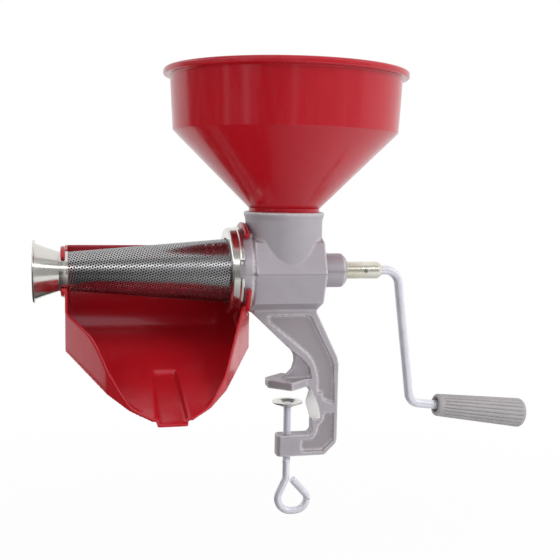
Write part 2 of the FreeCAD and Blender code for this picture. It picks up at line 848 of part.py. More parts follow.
def make_screen():
    d = size
    wall = d.cone_wall
    flange_right = d.screen_neck_left_x - d.gasket_width
    flange_left = flange_right - wall
    keep("strainer_cone", turned("cone_turned", [
        (d.cone_end_x, d.cone_small_radius),
        (d.cone_small_x, d.cone_small_radius),
        (d.cone_large_x, d.cone_large_radius),
        (flange_left, d.cone_large_radius),
        (flange_left, d.cone_flange_radius),
        (flange_right, d.cone_flange_radius),
        (flange_right, d.cone_large_radius - wall),
        (d.cone_large_x, d.cone_large_radius - wall),
        (d.cone_small_x, d.cone_small_radius - wall),
        (d.cone_end_x, d.cone_small_radius - wall),
    ]))
    keep("cone_gasket", turned("gasket_turned", box_outline(
        flange_right, d.screen_neck_left_x - d.running_gap, d.chamber_bore + 0.5, d.cone_flange_radius)))
    keep("outlet_band", turned("band_turned", box_outline(
        d.band_left_x, d.band_right_x, d.cone_small_radius, d.cone_small_radius + d.band_wall)))
    throat = d.cone_small_radius
    keep("waste_spout", turned("spout_turned", [
        (d.cone_end_x, throat - d.spout_wall),
        (d.cone_end_x, throat),
        (d.band_left_x, throat),
        (d.spout_flare_x, d.spout_flare_radius),
        (d.spout_flare_x, d.spout_rim_radius),
        (d.spout_rim_x, d.spout_rim_radius),
        (d.spout_rim_x, d.spout_flare_radius - d.spout_wall + 0.6),
        (d.band_left_x, throat - d.spout_wall),
    ]))


def make_collar():
    """A pressed cap with a rolled bead and hooked slots, turned so that the neck's lugs are locked."""
    d = size
    inside = d.collar_radius - d.collar_wall
    front_wall = d.screen_neck_left_x - d.gasket_width - d.cone_wall
    rear = d.collar_rear_x
    body = turned("collar_turned", [
        (d.collar_front_x, d.collar_mouth),
        (d.collar_front_x, d.collar_radius - d.collar_round),
        (d.collar_front_x + d.collar_round * 0.3, d.collar_radius - d.collar_round * 0.3),
        (d.collar_front_x + d.collar_round, d.collar_radius),
        (rear - d.bead_width, d.collar_radius),
        (rear - d.bead_width * 0.75, d.bead_radius),
        (rear - d.bead_width * 0.25, d.bead_radius),
        (rear, d.collar_radius),
        (rear, inside),
        (front_wall, inside),
        (front_wall, d.collar_mouth),
    ])
    half = d.lug_radius + d.slot_gap
    past = d.bead_radius + 2.0
    run = turn_profile(body, "Groove", box_outline(d.lug_x - half, d.lug_x + half, inside - 1.0, past),
                       "H_Axis", d.slot_turn)
    sketch = new_sketch(body, "XY_Plane")
    draw_circle(sketch, d.lug_x, 0.0, half)
    closed_end = pocket(body, sketch, past, reverse=True)
    sketch = new_sketch(body, "XY_Plane")
    draw_outline(sketch, box_outline(d.lug_x - half, rear + 1.0, -half, half))
    lean(sketch, d.slot_turn)
    way_in = pocket(body, sketch, past, reverse=True)
    around_shaft(body, "slots", [run, closed_end, way_in], d.lug_count)
    keep("collar", body, turn=Rotation(Vector(1, 0, 0), float(d.lug_angle)))
    body.setExpression("Placement.Rotation.Angle", d.lug_angle.rule)


# Juice chute


def chute_plan(inset):
    """The chute seen from above, moved inwards by inset, open at the lip when inset is not zero."""
    d = size
    lip = d.chute_lip_y - 2 * inset
    left = [(d.chute_left_x + inset, d.chute_back_y - inset), (d.chute_left_x + inset, d.chute_bend_y)]
    right = [(d.chute_right_x - inset, d.chute_bend_y), (d.chute_right_x - inset, d.chute_back_y - inset)]
    for width, y in (
        (d.chute_crease_width, d.chute_crease_y),
        (d.chute_corner_width, d.chute_corner_y),
        (d.chute_lip_width, lip),
    ):
        left.append((d.chute_middle_x - width / 2 + inset, y))
        right.insert(0, (d.chute_middle_x + width / 2 - inset, y))
    return left + right


def floor_slope():
    d = size
    return (d.chute_floor_back_z - d.chute_floor_lip_z) / (d.chute_back_y - d.chute_lip_y)


def floor_height(y):
    """Height of the underside of the chute's floor, before it curves up into the back wall."""
    return size.chute_floor_lip_z + floor_slope() * (y - size.chute_lip_y)


def back_curve(inset):
    """Side view of the round corner from back wall to floor, moved inwards by inset."""
    d = size
    slope = math.atan(floor_slope())
    middle_y = d.chute_back_y - d.chute_back_round
    middle_z = floor_height(middle_y) + d.chute_back_round / math.cos(slope)
    radius = d.chute_back_round - inset
    points = []
    for step in range(CURVE_STEPS + 1):
        angle = (math.pi / 2 - slope) * step / CURVE_STEPS
        points.append((middle_y + radius * math.cos(angle), middle_z - radius * math.sin(angle)))
    return points


def hook_plate(name, x, hub_x, bore, hub_wall, mouth_low, mouth_high):
    """An end wall with a hub that hooks over a neck; the mouth opens to the front between two angles."""
    d = size
    foot = [(d.hook_foot_y, floor_height(d.hook_foot_y))]
    outline = [(d.chute_back_y, d.chute_back_z)] + d.outline(name) + foot + back_curve(0.0)[::-1]
    plate = slab(f"{name}_plate", "YZ_Plane", outline, x, d.chute_wall)
    hub = rod_between(f"{name}_hub", bore + hub_wall, hub_x, d.hub_width)
    hole = rod_between(f"{name}_hole", bore, x - d.hub_width, 3 * d.hub_width)
    reach = 3 * (bore + hub_wall)
    low = math.radians(mouth_low)
    high = math.radians(mouth_high)
    wedge = slab(f"{name}_mouth", "YZ_Plane", [
        (0.0, 0.0),
        (-reach * math.cos(low), reach * math.sin(low)),
        (-reach * math.cos(high), reach * math.sin(high)),
    ], x - d.hub_width, 3 * d.hub_width)
    return cut(name, fuse(f"{name}_solid", [plate, hub]), [hole, wedge])


def spout_channel(name, inset, below, above):
    """The pouring channel's block: tapered in plan, and a band of the sloping floor in side view."""
    d = size
    middle = d.chute_middle_x
    wide = d.chute_spout_width / 2 - inset
    narrow = d.chute_spout_start_width / 2 - inset
    start = d.chute_spout_start_y - inset
    end = d.chute_spout_y - 2 * inset
    plan = slab(f"{name}_plan", "XY_Plane", [
        (middle - wide, end), (middle + wide, end), (middle + narrow, start), (middle - narrow, start),
    ], CHUTE_DEEP, CHUTE_TALL)
    band = slab(f"{name}_band", "YZ_Plane", [
        (start, floor_height(start) - below), (start, floor_height(start) + above),
        (end, floor_height(end) + above), (end, floor_height(end) - below),
    ], d.chute_left_x, d.chute_right_x - d.chute_left_x)
    return common(name, [plan, band])


def chute_floor_outline():
    """Side view of the floor and its round rise into the back wall."""
    d = size
    lip = d.chute_lip_y
    top = floor_height(lip) + d.chute_wall / math.cos(math.atan(floor_slope()))
    return back_curve(0.0) + [(lip, floor_height(lip)), (lip, top)] + back_curve(d.chute_wall)[::-1]


def rim_line(foot_y):
    """Side view of a wall's rim: an even height over the floor, then a smooth fall that ends at foot_y."""
    d = size
    steps = 2 * CURVE_STEPS
    points = []
    for step in range(steps, -1, -1):
        share = step / steps
        y = foot_y + d.chute_rim_run * share
        rise = (d.chute_rim_height - d.chute_wall) * share ** 2 * (3 - 2 * share)
        points.append((y, floor_height(y) + d.chute_wall + rise))
    return points


def chute_wall_outline(foot_y):
    """Side view of the walls: a tall back, low ends under the hooks, and a rim that falls to the lip."""
    d = size
    inner_back = d.chute_back_y - d.chute_wall
    low = floor_height(d.hook_foot_y) + d.chute_rim_height
    back = [(d.chute_back_y, d.chute_back_z), (inner_back, d.chute_back_z), (inner_back, low)]
    lip = [
        (d.chute_lip_y, floor_height(d.chute_lip_y) + d.chute_wall),
        (d.chute_lip_y, floor_height(d.chute_lip_y)),
    ]
    return back + [(d.hook_foot_y, low)] + rim_line(foot_y) + lip + back_curve(0.0)[::-1]


def make_chute():
    d = size
    wall = d.chute_wall
    across = d.chute_right_x - d.chute_left_x
    middle = d.chute_middle_x
    outer = slab("chute_outer", "XY_Plane", chute_plan(0.0), CHUTE_DEEP, CHUTE_TALL)
    inner = slab("chute_inner", "XY_Plane", chute_plan(wall), CHUTE_DEEP, CHUTE_TALL)
    left_side = slab("left_side", "YZ_Plane", chute_wall_outline(d.chute_left_rim_y),
                     d.chute_left_x, middle - d.chute_left_x)
    right_side = slab("right_side", "YZ_Plane", chute_wall_outline(d.chute_right_rim_y),
                      middle, d.chute_right_x - middle)
    floor = slab("chute_floor", "YZ_Plane", chute_floor_outline(), d.chute_left_x, across)
    ring = cut("chute_ring", outer, [inner])
    walls = common("chute_walls", [ring, fuse("chute_sides", [left_side, right_side])])
    bottom = common("chute_bottom", [outer, floor])
    left_bore = d.cone_small_radius + d.band_wall + d.hub_gap
    left = hook_plate("left_hook", d.chute_left_x, d.chute_left_x + wall / 2 - d.hub_width / 2,
                      left_bore, d.left_hub_wall, d.left_mouth_low, d.left_mouth_high)
    right_bore = d.screen_neck_radius + d.hub_gap
    right_x = d.right_hub_x - wall
    right = hook_plate("right_hook", right_x, d.right_hub_x - d.hub_width,
                       right_bore, d.right_hub_wall, d.right_mouth_low, d.right_mouth_high)
    depth = d.chute_spout_depth
    channel = spout_channel("spout_block", 0.0, depth, wall)
    solid = fuse("chute_solid", [walls, bottom, left, right, channel])
    groove = spout_channel("spout_groove", wall, depth - wall, wall + depth)
    neck_room = rod_between("neck_room", right_bore, right_x - d.hub_width, 3 * d.hub_width)
    keep("chute", cut("chute_cut", solid, [groove, neck_room]))


# Clamp screw


def make_clamp_screw():
    d = size
    pad_foot = d.pad_rim_z - d.pad_height
    neck_top = pad_foot + d.pad_floor + d.running_gap
    x = d.screw_x
    start = Vector(x, 0, d.screw_thread_end_z)
    corners = [Vector(u, 0, v) for u, v in d.outline("screw_loop")]
    loop = bent_wire(rounded_path([start] + corners, LOOP_BENDS), d.screw_wire_radius)
    up = Vector(0, 0, 1)
    thread_top = pad_foot - 2 * d.running_gap
    bars = [
        Part.makeCylinder(d.screw_radius, thread_top - d.screw_thread_end_z, start, up),
        Part.makeCylinder(d.screw_neck_radius, neck_top - thread_top, Vector(x, 0, thread_top), up),
        Part.makeCone(d.screw_head_radius, d.screw_head_tip, d.screw_head_height,
                      Vector(x, 0, neck_top), up),
    ]
    made = doc.addObject("Part::Feature", "screw")
    made.Shape = loop.multiFuse(bars).removeSplitter()
    keep("clamp_screw", made)


def make_clamp_pad():
    d = size
    hole = d.screw_neck_radius + d.running_gap
    foot = d.pad_rim_z - d.pad_height
    flat = d.pad_radius - d.pad_rim_width
    dish = d.screw_head_radius + 1.5
    body = turned("pad_turned", [
        (hole, foot),
        (hole, foot + d.pad_floor),
        (dish, foot + d.pad_floor),
        (flat, d.pad_rim_z),
        (d.pad_radius, d.pad_rim_z),
        (d.pad_radius, d.pad_rim_z - d.pad_rim_depth),
        (dish + 1.5, foot + 0.8),
        (dish, foot),
    ], "V_Axis")
    keep("clamp_pad", body, x=d.screw_x)


def check_document():
    for thing in doc.Objects:
        if "Invalid" in thing.State or "Error" in thing.State:
            raise RuntimeError(f"{thing.Name} ({thing.Label}) failed: {thing.State}")
    for label, thing in pieces.items():
        shape = thing.Shape
        if shape.isNull() or not shape.isValid() or not shape.Solids:
            raise RuntimeError(f"{label} has no valid solid")


def write_pieces():
    os.makedirs("parts", exist_ok=True)
    for label, thing in pieces.items():
        thing.Shape.exportStep(f"parts/{label}.step")
        print(label, len(thing.Shape.Solids), round(thing.Shape.Volume), thing.Shape.BoundBox)


make_sheet()
size = Sizes(sheet_values())
make_hopper()
make_body_casting()
make_shaft_bearing()
make_drive_shaft()
make_crank_pin()
make_crank_rod()
make_grip()
make_auger()
make_screen()
make_collar()
make_chute()
make_clamp_screw()
make_clamp_pad()
doc.recompute()
check_document()
write_pieces()
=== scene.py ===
"""Looks of a hand-cranked strainer mill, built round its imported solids."""

import math

import bmesh
import bpy
from mathutils import Matrix, Vector


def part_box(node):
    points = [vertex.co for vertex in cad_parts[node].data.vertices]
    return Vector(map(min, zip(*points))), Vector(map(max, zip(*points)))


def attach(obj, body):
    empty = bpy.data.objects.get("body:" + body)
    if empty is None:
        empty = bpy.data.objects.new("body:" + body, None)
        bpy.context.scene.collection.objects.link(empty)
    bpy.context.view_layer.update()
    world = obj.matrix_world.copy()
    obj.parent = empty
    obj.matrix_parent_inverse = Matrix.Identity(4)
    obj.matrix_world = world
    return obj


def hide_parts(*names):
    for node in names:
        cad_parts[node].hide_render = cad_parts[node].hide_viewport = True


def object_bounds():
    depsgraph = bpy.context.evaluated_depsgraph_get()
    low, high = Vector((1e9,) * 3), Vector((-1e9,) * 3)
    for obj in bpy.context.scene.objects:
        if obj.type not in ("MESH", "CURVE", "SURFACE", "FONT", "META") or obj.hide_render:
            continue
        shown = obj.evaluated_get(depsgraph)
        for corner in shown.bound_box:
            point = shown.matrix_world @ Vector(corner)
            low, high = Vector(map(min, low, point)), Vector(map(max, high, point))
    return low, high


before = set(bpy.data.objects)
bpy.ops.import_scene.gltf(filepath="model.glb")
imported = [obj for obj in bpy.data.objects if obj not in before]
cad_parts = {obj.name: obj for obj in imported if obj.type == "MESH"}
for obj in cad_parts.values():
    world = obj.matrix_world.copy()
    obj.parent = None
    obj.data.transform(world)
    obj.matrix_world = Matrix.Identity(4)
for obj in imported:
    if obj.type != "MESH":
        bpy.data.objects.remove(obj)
cad_low, cad_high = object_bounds()

# Places: the mill's own origin is where the shaft meets the hopper's axis.
# Sizes are millimetres where nothing else is said
MM = 0.001
TURN = 2 * math.pi
hopper_low, hopper_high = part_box("hopper")
bush_low, bush_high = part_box("shaft_bush")
ORIGIN = Vector(((hopper_low.x + hopper_high.x) / 2, 0.0, (bush_low.z + bush_high.z) / 2))
SCREW_X = -ORIGIN.x / MM

# Points on the axis of a turned piece keep a small radius, and doubles lie closer than MERGE metres
ON_AXIS = 0.01
MERGE = 1e-6

# Hopper: its inside corners lie a little higher than its outside ones
HOPPER_WALL = 2.0
RIM_RADIUS = 120.0
RIM_TOP = 195.7
LIP_HEIGHT = 7.0
LIP_EDGE = 0.6
LIP_ROOT = 0.3
BOWL_RADIUS = 113.5
CREASE_RADIUS = 110.8
CREASE_Z = 137.2
SPIGOT_RADIUS = 35.3
CONE_FOOT_Z = 62.5
SPIGOT_FOOT_Z = 40.0
INSIDE_RISE = 0.8

# Body casting: where its sunk panels (darkened with painted shade), the facets in its throat (painted
# pale as painted light) and its parting line lie.
# FLAT_FACE and FACET_LEAN say how much of a face's direction counts, and EDGE_TURN what is a full edge
CHAMBER_FOOT_Z = -40.0
FLAT_FACE = 0.85
PANEL_Y = 4.5
PANEL_ROOM = 0.5
FACET_X = (24.0, 41.5)
FACET_Z = (-153.0, -122.0)
FACET_HALF = 8.8
FACET_LEAN = 0.3
PARTING_HALF = 1.1
EDGE_TURN = 0.15
CAST_METALLIC = 0.45
LIT_FACET_METALLIC = 0.05

# Most of a noise lies between these two values
NOISE_RANGE = (0.3, 0.7)

# Collar, with its slots for the casting's lugs, and how far its bead's three corners are from its rear
COLLAR_RADIUS = 42.8
COLLAR_WALL = 1.5
COLLAR_MOUTH = 32.4
COLLAR_FRONT_X = -58.9
COLLAR_FACE = 3.5
COLLAR_REAR_X = -46.0
BEAD_RADIUS = 43.7
BEAD_BACK = (4.4, 3.4, 1.0)
REAR_DROP = 0.2
LUGS = 3
LUG_X = -49.0
LUG_ANGLE = 74.0
SLOT_HALF = 2.4
SLOT_TURN = 17.0
SLOT_REACH = (39.0, 47.0)
SLOT_PAST = 2.0
SLOT_SHY = 0.01

# Perforated cone: the margin is a share of the holes' pitch, and the spare a share of the sheet
CONE_LARGE = 31.3
CONE_LARGE_X = -60.9
CONE_SMALL = 18.9
CONE_SMALL_X = -206.0
CONE_SLOPE = (CONE_LARGE - CONE_SMALL) / (CONE_LARGE_X - CONE_SMALL_X)
CONE_END_X = -212.0
CONE_WALL = 0.6
SCREEN_TUCK = 1.6
SCREEN_START_X = -211.8
SCREEN_END_X = COLLAR_FRONT_X + SCREEN_TUCK
PLAIN_END_X = -209.8
HOLE_PITCH = 2.7
HOLE_RADIUS = 0.95
HOLE_MARGIN = 0.62
HOLE_ROWS_TURN = math.radians(18.0)
ROW_RATIO = math.sqrt(0.75)
SHEET_SPARE = 1.3
CELL_MERGE = 0.01
SEAM_PROUD = 0.33
SEAM_HALF = math.radians(9.0)

# Outlet band and waste spout
BAND_LEFT_X = -218.0
BAND_RIGHT_X = -210.4
BAND_WALL = 0.5
SPOUT_FLARE = 26.9
SPOUT_MOUTH = 26.5
SPOUT_RIM = 30.1
SPOUT_RIM_X = -242.3
SPOUT_RIM_WIDTH = 2.0
SPOUT_WALL = 0.7
FLARE_CURL = 0.08

# Shaft and crank rod
SHAFT_RADIUS = 8.75
SHAFT_END_X = 102.5
NOSE_LENGTH = 3.5
NOSE_DROP = 1.75
FLANGE_RADIUS = 14.0
FLANGE_X = (25.45, 27.95)
SQUARE = 12.0
SQUARE_X = 2.0
SOCKET_X = 70.0
SOCKET_ROOM = 0.02
ROD_RADIUS = 4.65
ROD_START_X = 72.0
ROD_TOP_X = 121.3
ROD_BENDS = (15.0, 13.0)
ROD_END_GAP = 2.7
KNEE = (139.9, -140.5)

# Grip: lengths run along it from its mouth, and each flute has FLUTE_SIDES faces round the grip
GRIP_TILT = math.radians(7.36)
GRIP_START = 29.3
GRIP_LENGTH = 103.5
GRIP_SMALL = 11.8
GRIP_LARGE = 15.5
GRIP_ROOM = 0.1
GRIP_CHAMFER = (2.4, 1.0)
GRIP_MOUTH = (7.4, 8.2)
MOUTH_DEPTH = 7.0
NUT_ROOM = (9.0, 10.0)
CAP_LENGTH = 7.0
CAP_FULLNESS = 0.75
FLUTES = 20
FLUTE_SIDES = 14
FLUTE_STEP = 1.6
FLUTE_DEPTH = 1.1
FLUTE_RUN = (5.0, 99.5)
FLUTE_FADE = (3.0, 6.0)
FLUTE_SKIN = 10.6
FLUTE_NARROW = 5.0

# Clamp screw: its thread, its rivet head over the pad's foot, and its loop
THREAD_RADIUS = 4.0
THREAD_PITCH = 1.25
THREAD_DEPTH = 0.62
THREAD_FLANK = (0.15, 0.85)
THREAD_FADE = (1.5, 2.0)
THREAD_END_Z = -198.0
TAPER_LENGTH = 2.0
RIVET_RADIUS = 3.0
RIVET_ROOM = 0.05
RIVET_ROOT = 1.0
RIVET_HEAD = (5.0, 3.5)
RIVET_HEAD_Z = (2.45, 4.05)
WIRE_RADIUS = 3.75
LOOP_START_Z = -215.0
LOOP_LEFT_X = -9.0
LOOP_RIGHT_X = 29.8
LOOP_FOOT_Z = -250.4
LOOP_SIDE_Z = -235.0
LOOP_END = (13.8, -216.8)
LOOP_BENDS = (7.0, 14.0, 13.0, 7.0)

# Clamp pad
PAD_FOOT_Z = -139.6
PAD_GAP = 0.1
PAD_FLOOR = 2.4
PAD_RIM_Z = -134.0
PAD_RADIUS = 15.85
PAD_BRIM = 4.5
PAD_EDGE = 1.4
DISH_RADIUS = 6.5
DISH_CORNER = (1.5, 0.8)

# Juice chute: its plan narrows towards the lip, with half its width at each place of NARROWS.
# A rim has the place of its foot, its run towards the back and its height
CHUTE_LEFT_X = -213.0
CHUTE_RIGHT_X = -36.5
CHUTE_MIDDLE_X = -124.0
CHUTE_WALL = 2.5
BEND_Y = -15.0
NARROWS = ((-90.0, 53.3), (-117.0, 35.0), (-133.0, 18.0))
LIP_Y = NARROWS[-1][0]
BACK_Y = 48.5
BACK_TOP_Z = 22.0
BACK_ROUND = 44.5
FLOOR_BACK_Z = -54.0
FLOOR_LIP_Z = -114.0
FLOOR_SLOPE = (FLOOR_BACK_Z - FLOOR_LIP_Z) / (BACK_Y - LIP_Y)
LEFT_RIM = (-128.0, 72.0, 38.0)
RIGHT_RIM = (-128.0, 126.0, 60.0)
RIM_FOOT_Z = -38.0
COLLAR_ROOM = 44.3
CHANNEL_START_Y = -56.0
CHANNEL_END_Y = -137.5
CHANNEL_HALF = (11.2, 13.5)
CHANNEL_DEPTH = 3.0
CHANNEL_SIDE = 1.6
CHANNEL_STEP = 2.0
TONGUE_ROOT = 6.0

# The chute's hooks over the necks: the angles of a mouth are in degrees, up from the front
HOOK_FOOT_Y = -20.0
HUB_WIDTH = 4.6
LEFT_HUB_X = -217.0
LEFT_HUB_BORE = 19.8
LEFT_HUB_WALL = 4.5
LEFT_MOUTH = (-45.0, 40.0)
LEFT_TIPS = ((12.0, 24.0), (-18.0, 11.0), (-18.0, -14.0))
RIGHT_HUB_X = -39.9
RIGHT_HUB_BORE = 40.9
RIGHT_HUB_WALL = 7.5
RIGHT_MOUTH = (-18.0, 52.0)
RIGHT_TIPS = ((34.0, 30.0), (12.0, 43.4), (-30.0, 38.0), (-46.0, -12.0), (-36.0, -36.0))

# Stage: lengths in metres, and the share of plain white on the floor round the mill
WHITE = (1.0, 1.0, 1.0, 1.0)
WORLD_LIGHT = 0.5
FLOOR_DROP = 0.25
FLOOR_SIZE = 12.0
FLOOR_FADE = (0.6, 1.6)
FLOOR_WHITE = 0.94

# Studio cards: lengths in metres, and turn and rise in degrees from the camera's side
CARD_RADIUS = 1.7
CARD_MIDDLE = math.radians(-13.1)
CARD_TURN = (-108, 76)
CARD_RISE = (-16, 62)
CARD_GREY = (-15.0, 75.0)
CARD_HORIZON = (3.0, 10.0)
CARD_DARK = 0.05
CARD_GAIN = 0.55
CARD_HIGH = 0.38
CARD_STRENGTH = 3.0
TABLE_STEPS = 64
TABLE_DEEP = (-1.68, 0.5)
TABLE_DROP = 0.2
TABLE_GREY = (-0.2, 0.45)
TABLE_DARK = 0.06
LAMP_STRIPS = (-57.0, -37.0, 8.0, 57.0)
STRIP_WIDTH = 2.4
STRIP_GLOW = 0.95
TUBE_RISE = 28.0
TUBE_WIDTH = 5.0

# Lamps: name, place from the mill's middle and size in metres, and power
LAMPS = (
    ("key", (1.4, -0.8, 0.8), (0.9, 0.9), 18.0),
    ("fill", (-1.2, -1.0, 0.4), (0.5, 1.2), 5.5),
    ("top", (0.1, -0.3, 1.6), (1.4, 1.0), 8.0),
    ("low", (0.5, -1.3, -0.45), (1.2, 0.4), 5.0),
)

# Camera: turn to the right, fall and roll in degrees, and its place from the mill's own origin
SENSOR_WIDTH = 36.0
LENS = 57.2
CAMERA_ANGLES = (12.95, 6.2, 1.03)
CAMERA_PLACE = (-202.1, -866.8, 87.0)


# Node trees


class Nodes:
    """Adds nodes to a tree and links them."""

    def __init__(self, tree):
        self.tree = tree

    def add(self, kind, inputs=(), **settings):
        made = self.tree.nodes.new(kind)
        for name, value in settings.items():
            setattr(made, name, value)
        for key, value in dict(inputs).items():
            self.feed(made.inputs[key], value)
        return made

    def feed(self, socket, value):
        if isinstance(value, bpy.types.NodeSocket):
            self.tree.links.new(value, socket)
        else:
            socket.default_value = value

    def attribute(self, name):
        """A number that is stored on the mesh."""
        return self.add("ShaderNodeAttribute", attribute_name=name).outputs["Fac"]

    def math(self, operation, *values):
        made = self.add("ShaderNodeMath", operation=operation)
        for socket, value in zip(made.inputs, values):
            self.feed(socket, value)
        return made.outputs[0]

    def times(self, first, second):
        return self.math("MULTIPLY", first, second)

    def plus(self, first, second):
        return self.math("ADD", first, second)

    def minus(self, first, second):
        return self.math("SUBTRACT", first, second)

    def length(self, first, second):
        return self.math("SQRT", self.plus(self.times(first, first), self.times(second, second)))

    def ramp(self, value, low, high, to_low=0.0, to_high=1.0):
        """A smooth step from to_low to to_high, while value goes from low to high."""
        made = self.add("ShaderNodeMapRange", interpolation_type="SMOOTHSTEP")
        for socket, number in zip(made.inputs, (value, low, high, to_low, to_high)):
            self.feed(socket, number)
        return made.outputs[0]


class PieceTree(Nodes):
    """A geometry tree with named size inputs. Its modifier is made and baked by run()."""

    def __init__(self, name, sizes):
        super().__init__(bpy.data.node_groups.new(name, "GeometryNodeTree"))
        face = self.tree.interface
        face.new_socket("Geometry", in_out="INPUT", socket_type="NodeSocketGeometry")
        self.identifiers = {}
        for label, value in sizes.items():
            kind = "NodeSocketInt" if isinstance(value, int) else "NodeSocketFloat"
            kind = "NodeSocketObject" if isinstance(value, bpy.types.Object) else kind
            self.identifiers[label] = face.new_socket(label, in_out="INPUT", socket_type=kind).identifier
        face.new_socket("Geometry", in_out="OUTPUT", socket_type="NodeSocketGeometry")
        self.sizes = sizes
        self.given = self.add("NodeGroupInput").outputs
        self.shape = self.given["Geometry"]

    def position(self):
        """The three coordinates of each point."""
        split = self.add("ShaderNodeSeparateXYZ", {0: self.add("GeometryNodeInputPosition").outputs[0]})
        return split.outputs

    def vector(self, x, y, z):
        return self.add("ShaderNodeCombineXYZ", {0: x, 1: y, 2: z}).outputs[0]

    def step(self, kind, inputs=(), **settings):
        """Pass the shape so far through one more node."""
        made = self.add(kind, inputs, **settings)
        self.feed(made.inputs[0], self.shape)
        self.shape = made.outputs[0]
        return made

    def run(self, obj, material):
        """Finish the tree, use it on an object and bake the result."""
        self.step("GeometryNodeRealizeInstances")
        self.step("GeometryNodeSetMaterial", {"Material": material})
        self.feed(self.add("NodeGroupOutput").inputs[0], self.shape)
        made = obj.modifiers.new("rule", "NODES")
        made.node_group = self.tree
        for label, value in self.sizes.items():
            made[self.identifiers[label]] = value
        bake(obj)


def bake(obj):
    """Turn an object's modifiers into plain mesh."""
    bpy.context.view_layer.update()
    seen = obj.evaluated_get(bpy.context.evaluated_depsgraph_get())
    mesh = bpy.data.meshes.new_from_object(seen)
    obj.modifiers.clear()
    obj.data = mesh


# Mesh helpers


def new_object(name, data):
    """An object in the scene, at the origin."""
    obj = bpy.data.objects.new(name, data)
    bpy.context.scene.collection.objects.link(obj)
    return obj


def new_piece(name, points, faces, edges=()):
    """A mesh in millimetres from the mill's own origin."""
    mesh = bpy.data.meshes.new(name)
    mesh.from_pydata([Vector(p) * MM for p in points], edges, faces)
    mesh.update()
    return new_object(name, mesh)


def held(value):
    """A value held between 0 and 1."""
    return min(1.0, max(0.0, value))


def eased(share):
    """A share from 0 to 1 that starts and ends slowly."""
    return share * share * (3 - 2 * share)


def keep_values(obj, name, values):
    """Store one number per point of a mesh, held between 0 and 1."""
    layer = obj.data.attributes.new(name, "FLOAT", "POINT")
    layer.data.foreach_set("value", [held(v) for v in values])


def tidy_mesh(obj):
    """Merge doubles and point the faces outwards."""
    work = bmesh.new()
    work.from_mesh(obj.data)
    bmesh.ops.remove_doubles(work, verts=work.verts, dist=MERGE)
    bmesh.ops.recalc_face_normals(work, faces=work.faces)
    work.to_mesh(obj.data)
    work.free()
    return obj


def rounded(corners, steps=4, closed=True):
    """An outline whose corners, each (along, across, radius), are rounded with arcs.

    An open one keeps its two ends.
    """
    points = []
    count = len(corners)
    for i, (along, across, radius) in enumerate(corners):
        here = Vector((along, across))
        if radius <= 0 or (not closed and i in (0, count - 1)):
            points.append(here)
            continue
        before = (Vector(corners[i - 1][:2]) - here).normalized()
        after = (Vector(corners[(i + 1) % count][:2]) - here).normalized()
        half = before.angle(after) / 2
        reach = radius / math.tan(half)
        centre = here + (before + after).normalized() * (radius / math.sin(half))
        first = here + before * reach - centre
        last = here + after * reach - centre
        for k in range(steps + 1):
            points.append(centre + first.lerp(last, k / steps).normalized() * radius)
    return [(p.x, p.y) for p in points]


def lathe(name, outline, axis="X", steps=160, closed=True):
    """Turn an outline of (along, radius) points about the shaft, or about the hopper's axis."""
    points = []
    for along, radius in outline:
        for k in range(steps):
            angle = TURN * k / steps
            across = (radius * math.cos(angle), radius * math.sin(angle))
            points.append((along, *across) if axis == "X" else (*across, along))
    rows = len(outline)
    faces = []
    for i in range(rows if closed else rows - 1):
        j = (i + 1) % rows
        for k in range(steps):
            after = (k + 1) % steps
            faces.append((i * steps + k, i * steps + after, j * steps + after, j * steps + k))
    return tidy_mesh(new_piece(name, points, faces))


def prism(name, outline, low, high):
    """An outline of (y, z) points, pushed along the shaft from low to high."""
    count = len(outline)
    points = [(level, *p) for level in (low, high) for p in outline]
    faces = [tuple(range(count)), tuple(range(count, 2 * count))]
    for i in range(count):
        after = (i + 1) % count
        faces.append((i, after, count + after, count + i))
    return tidy_mesh(new_piece(name, points, faces))


def ring_solid(name, sections):
    """A closed solid through equal loops of points, capped at both ends."""
    count = len(sections[0])
    points = [p for section in sections for p in section]
    faces = [tuple(range(count)), tuple(range(len(points) - count, len(points)))]
    for i in range(len(sections) - 1):
        for k in range(count):
            after = (k + 1) % count
            first, second = i * count, (i + 1) * count
            faces.append((first + k, first + after, second + after, second + k))
    return tidy_mesh(new_piece(name, points, faces))


def join(name, parts):
    """One object from several overlapping ones."""
    work = bmesh.new()
    for part in parts:
        work.from_mesh(part.data)
        bpy.data.objects.remove(part)
    mesh = bpy.data.meshes.new(name)
    work.to_mesh(mesh)
    work.free()
    return new_object(name, mesh)


def soften(obj, grain, passes, kept=1.0):
    """Grow overlapping solids into one skin with soft edges, and keep a share of its triangles."""
    skin = obj.modifiers.new("skin", "REMESH")
    skin.mode = "VOXEL"
    skin.voxel_size = grain * MM
    ease = obj.modifiers.new("ease", "SMOOTH")
    ease.factor = 0.5
    ease.iterations = passes
    if kept < 1.0:
        thin = obj.modifiers.new("thin", "DECIMATE")
        thin.ratio = kept
    bake(obj)
    return obj


def carve(obj, cutter):
    """Cut one solid out of another and remove the cutter."""
    cut = obj.modifiers.new("carve", "BOOLEAN")
    cut.operation = "DIFFERENCE"
    cut.solver = "EXACT"
    cut.use_self = True
    cut.object = cutter
    bake(obj)
    bpy.data.objects.remove(cutter)


def place(obj, body, nodes, material=None, sharp=35.0):
    """Set a finished mesh in the frame: its place, shading and finish, its body and its nodes.

    Edges that turn by more than sharp degrees stay crisp. The nodes are the solids it stands for.
    """
    obj.data.transform(Matrix.Translation(ORIGIN))
    obj.data.shade_smooth()
    obj.data.set_sharp_from_angle(angle=math.radians(sharp))
    if material:
        obj.data.materials.clear()
        obj.data.materials.append(material)
    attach(obj, body)
    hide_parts(*nodes)


def solid_copy(name, node):
    """A merged copy of a CAD node, in the mill's own place."""
    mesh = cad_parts[node].data.copy()
    mesh.transform(Matrix.Translation(-ORIGIN))
    return tidy_mesh(new_object(name, mesh))


# Finishes


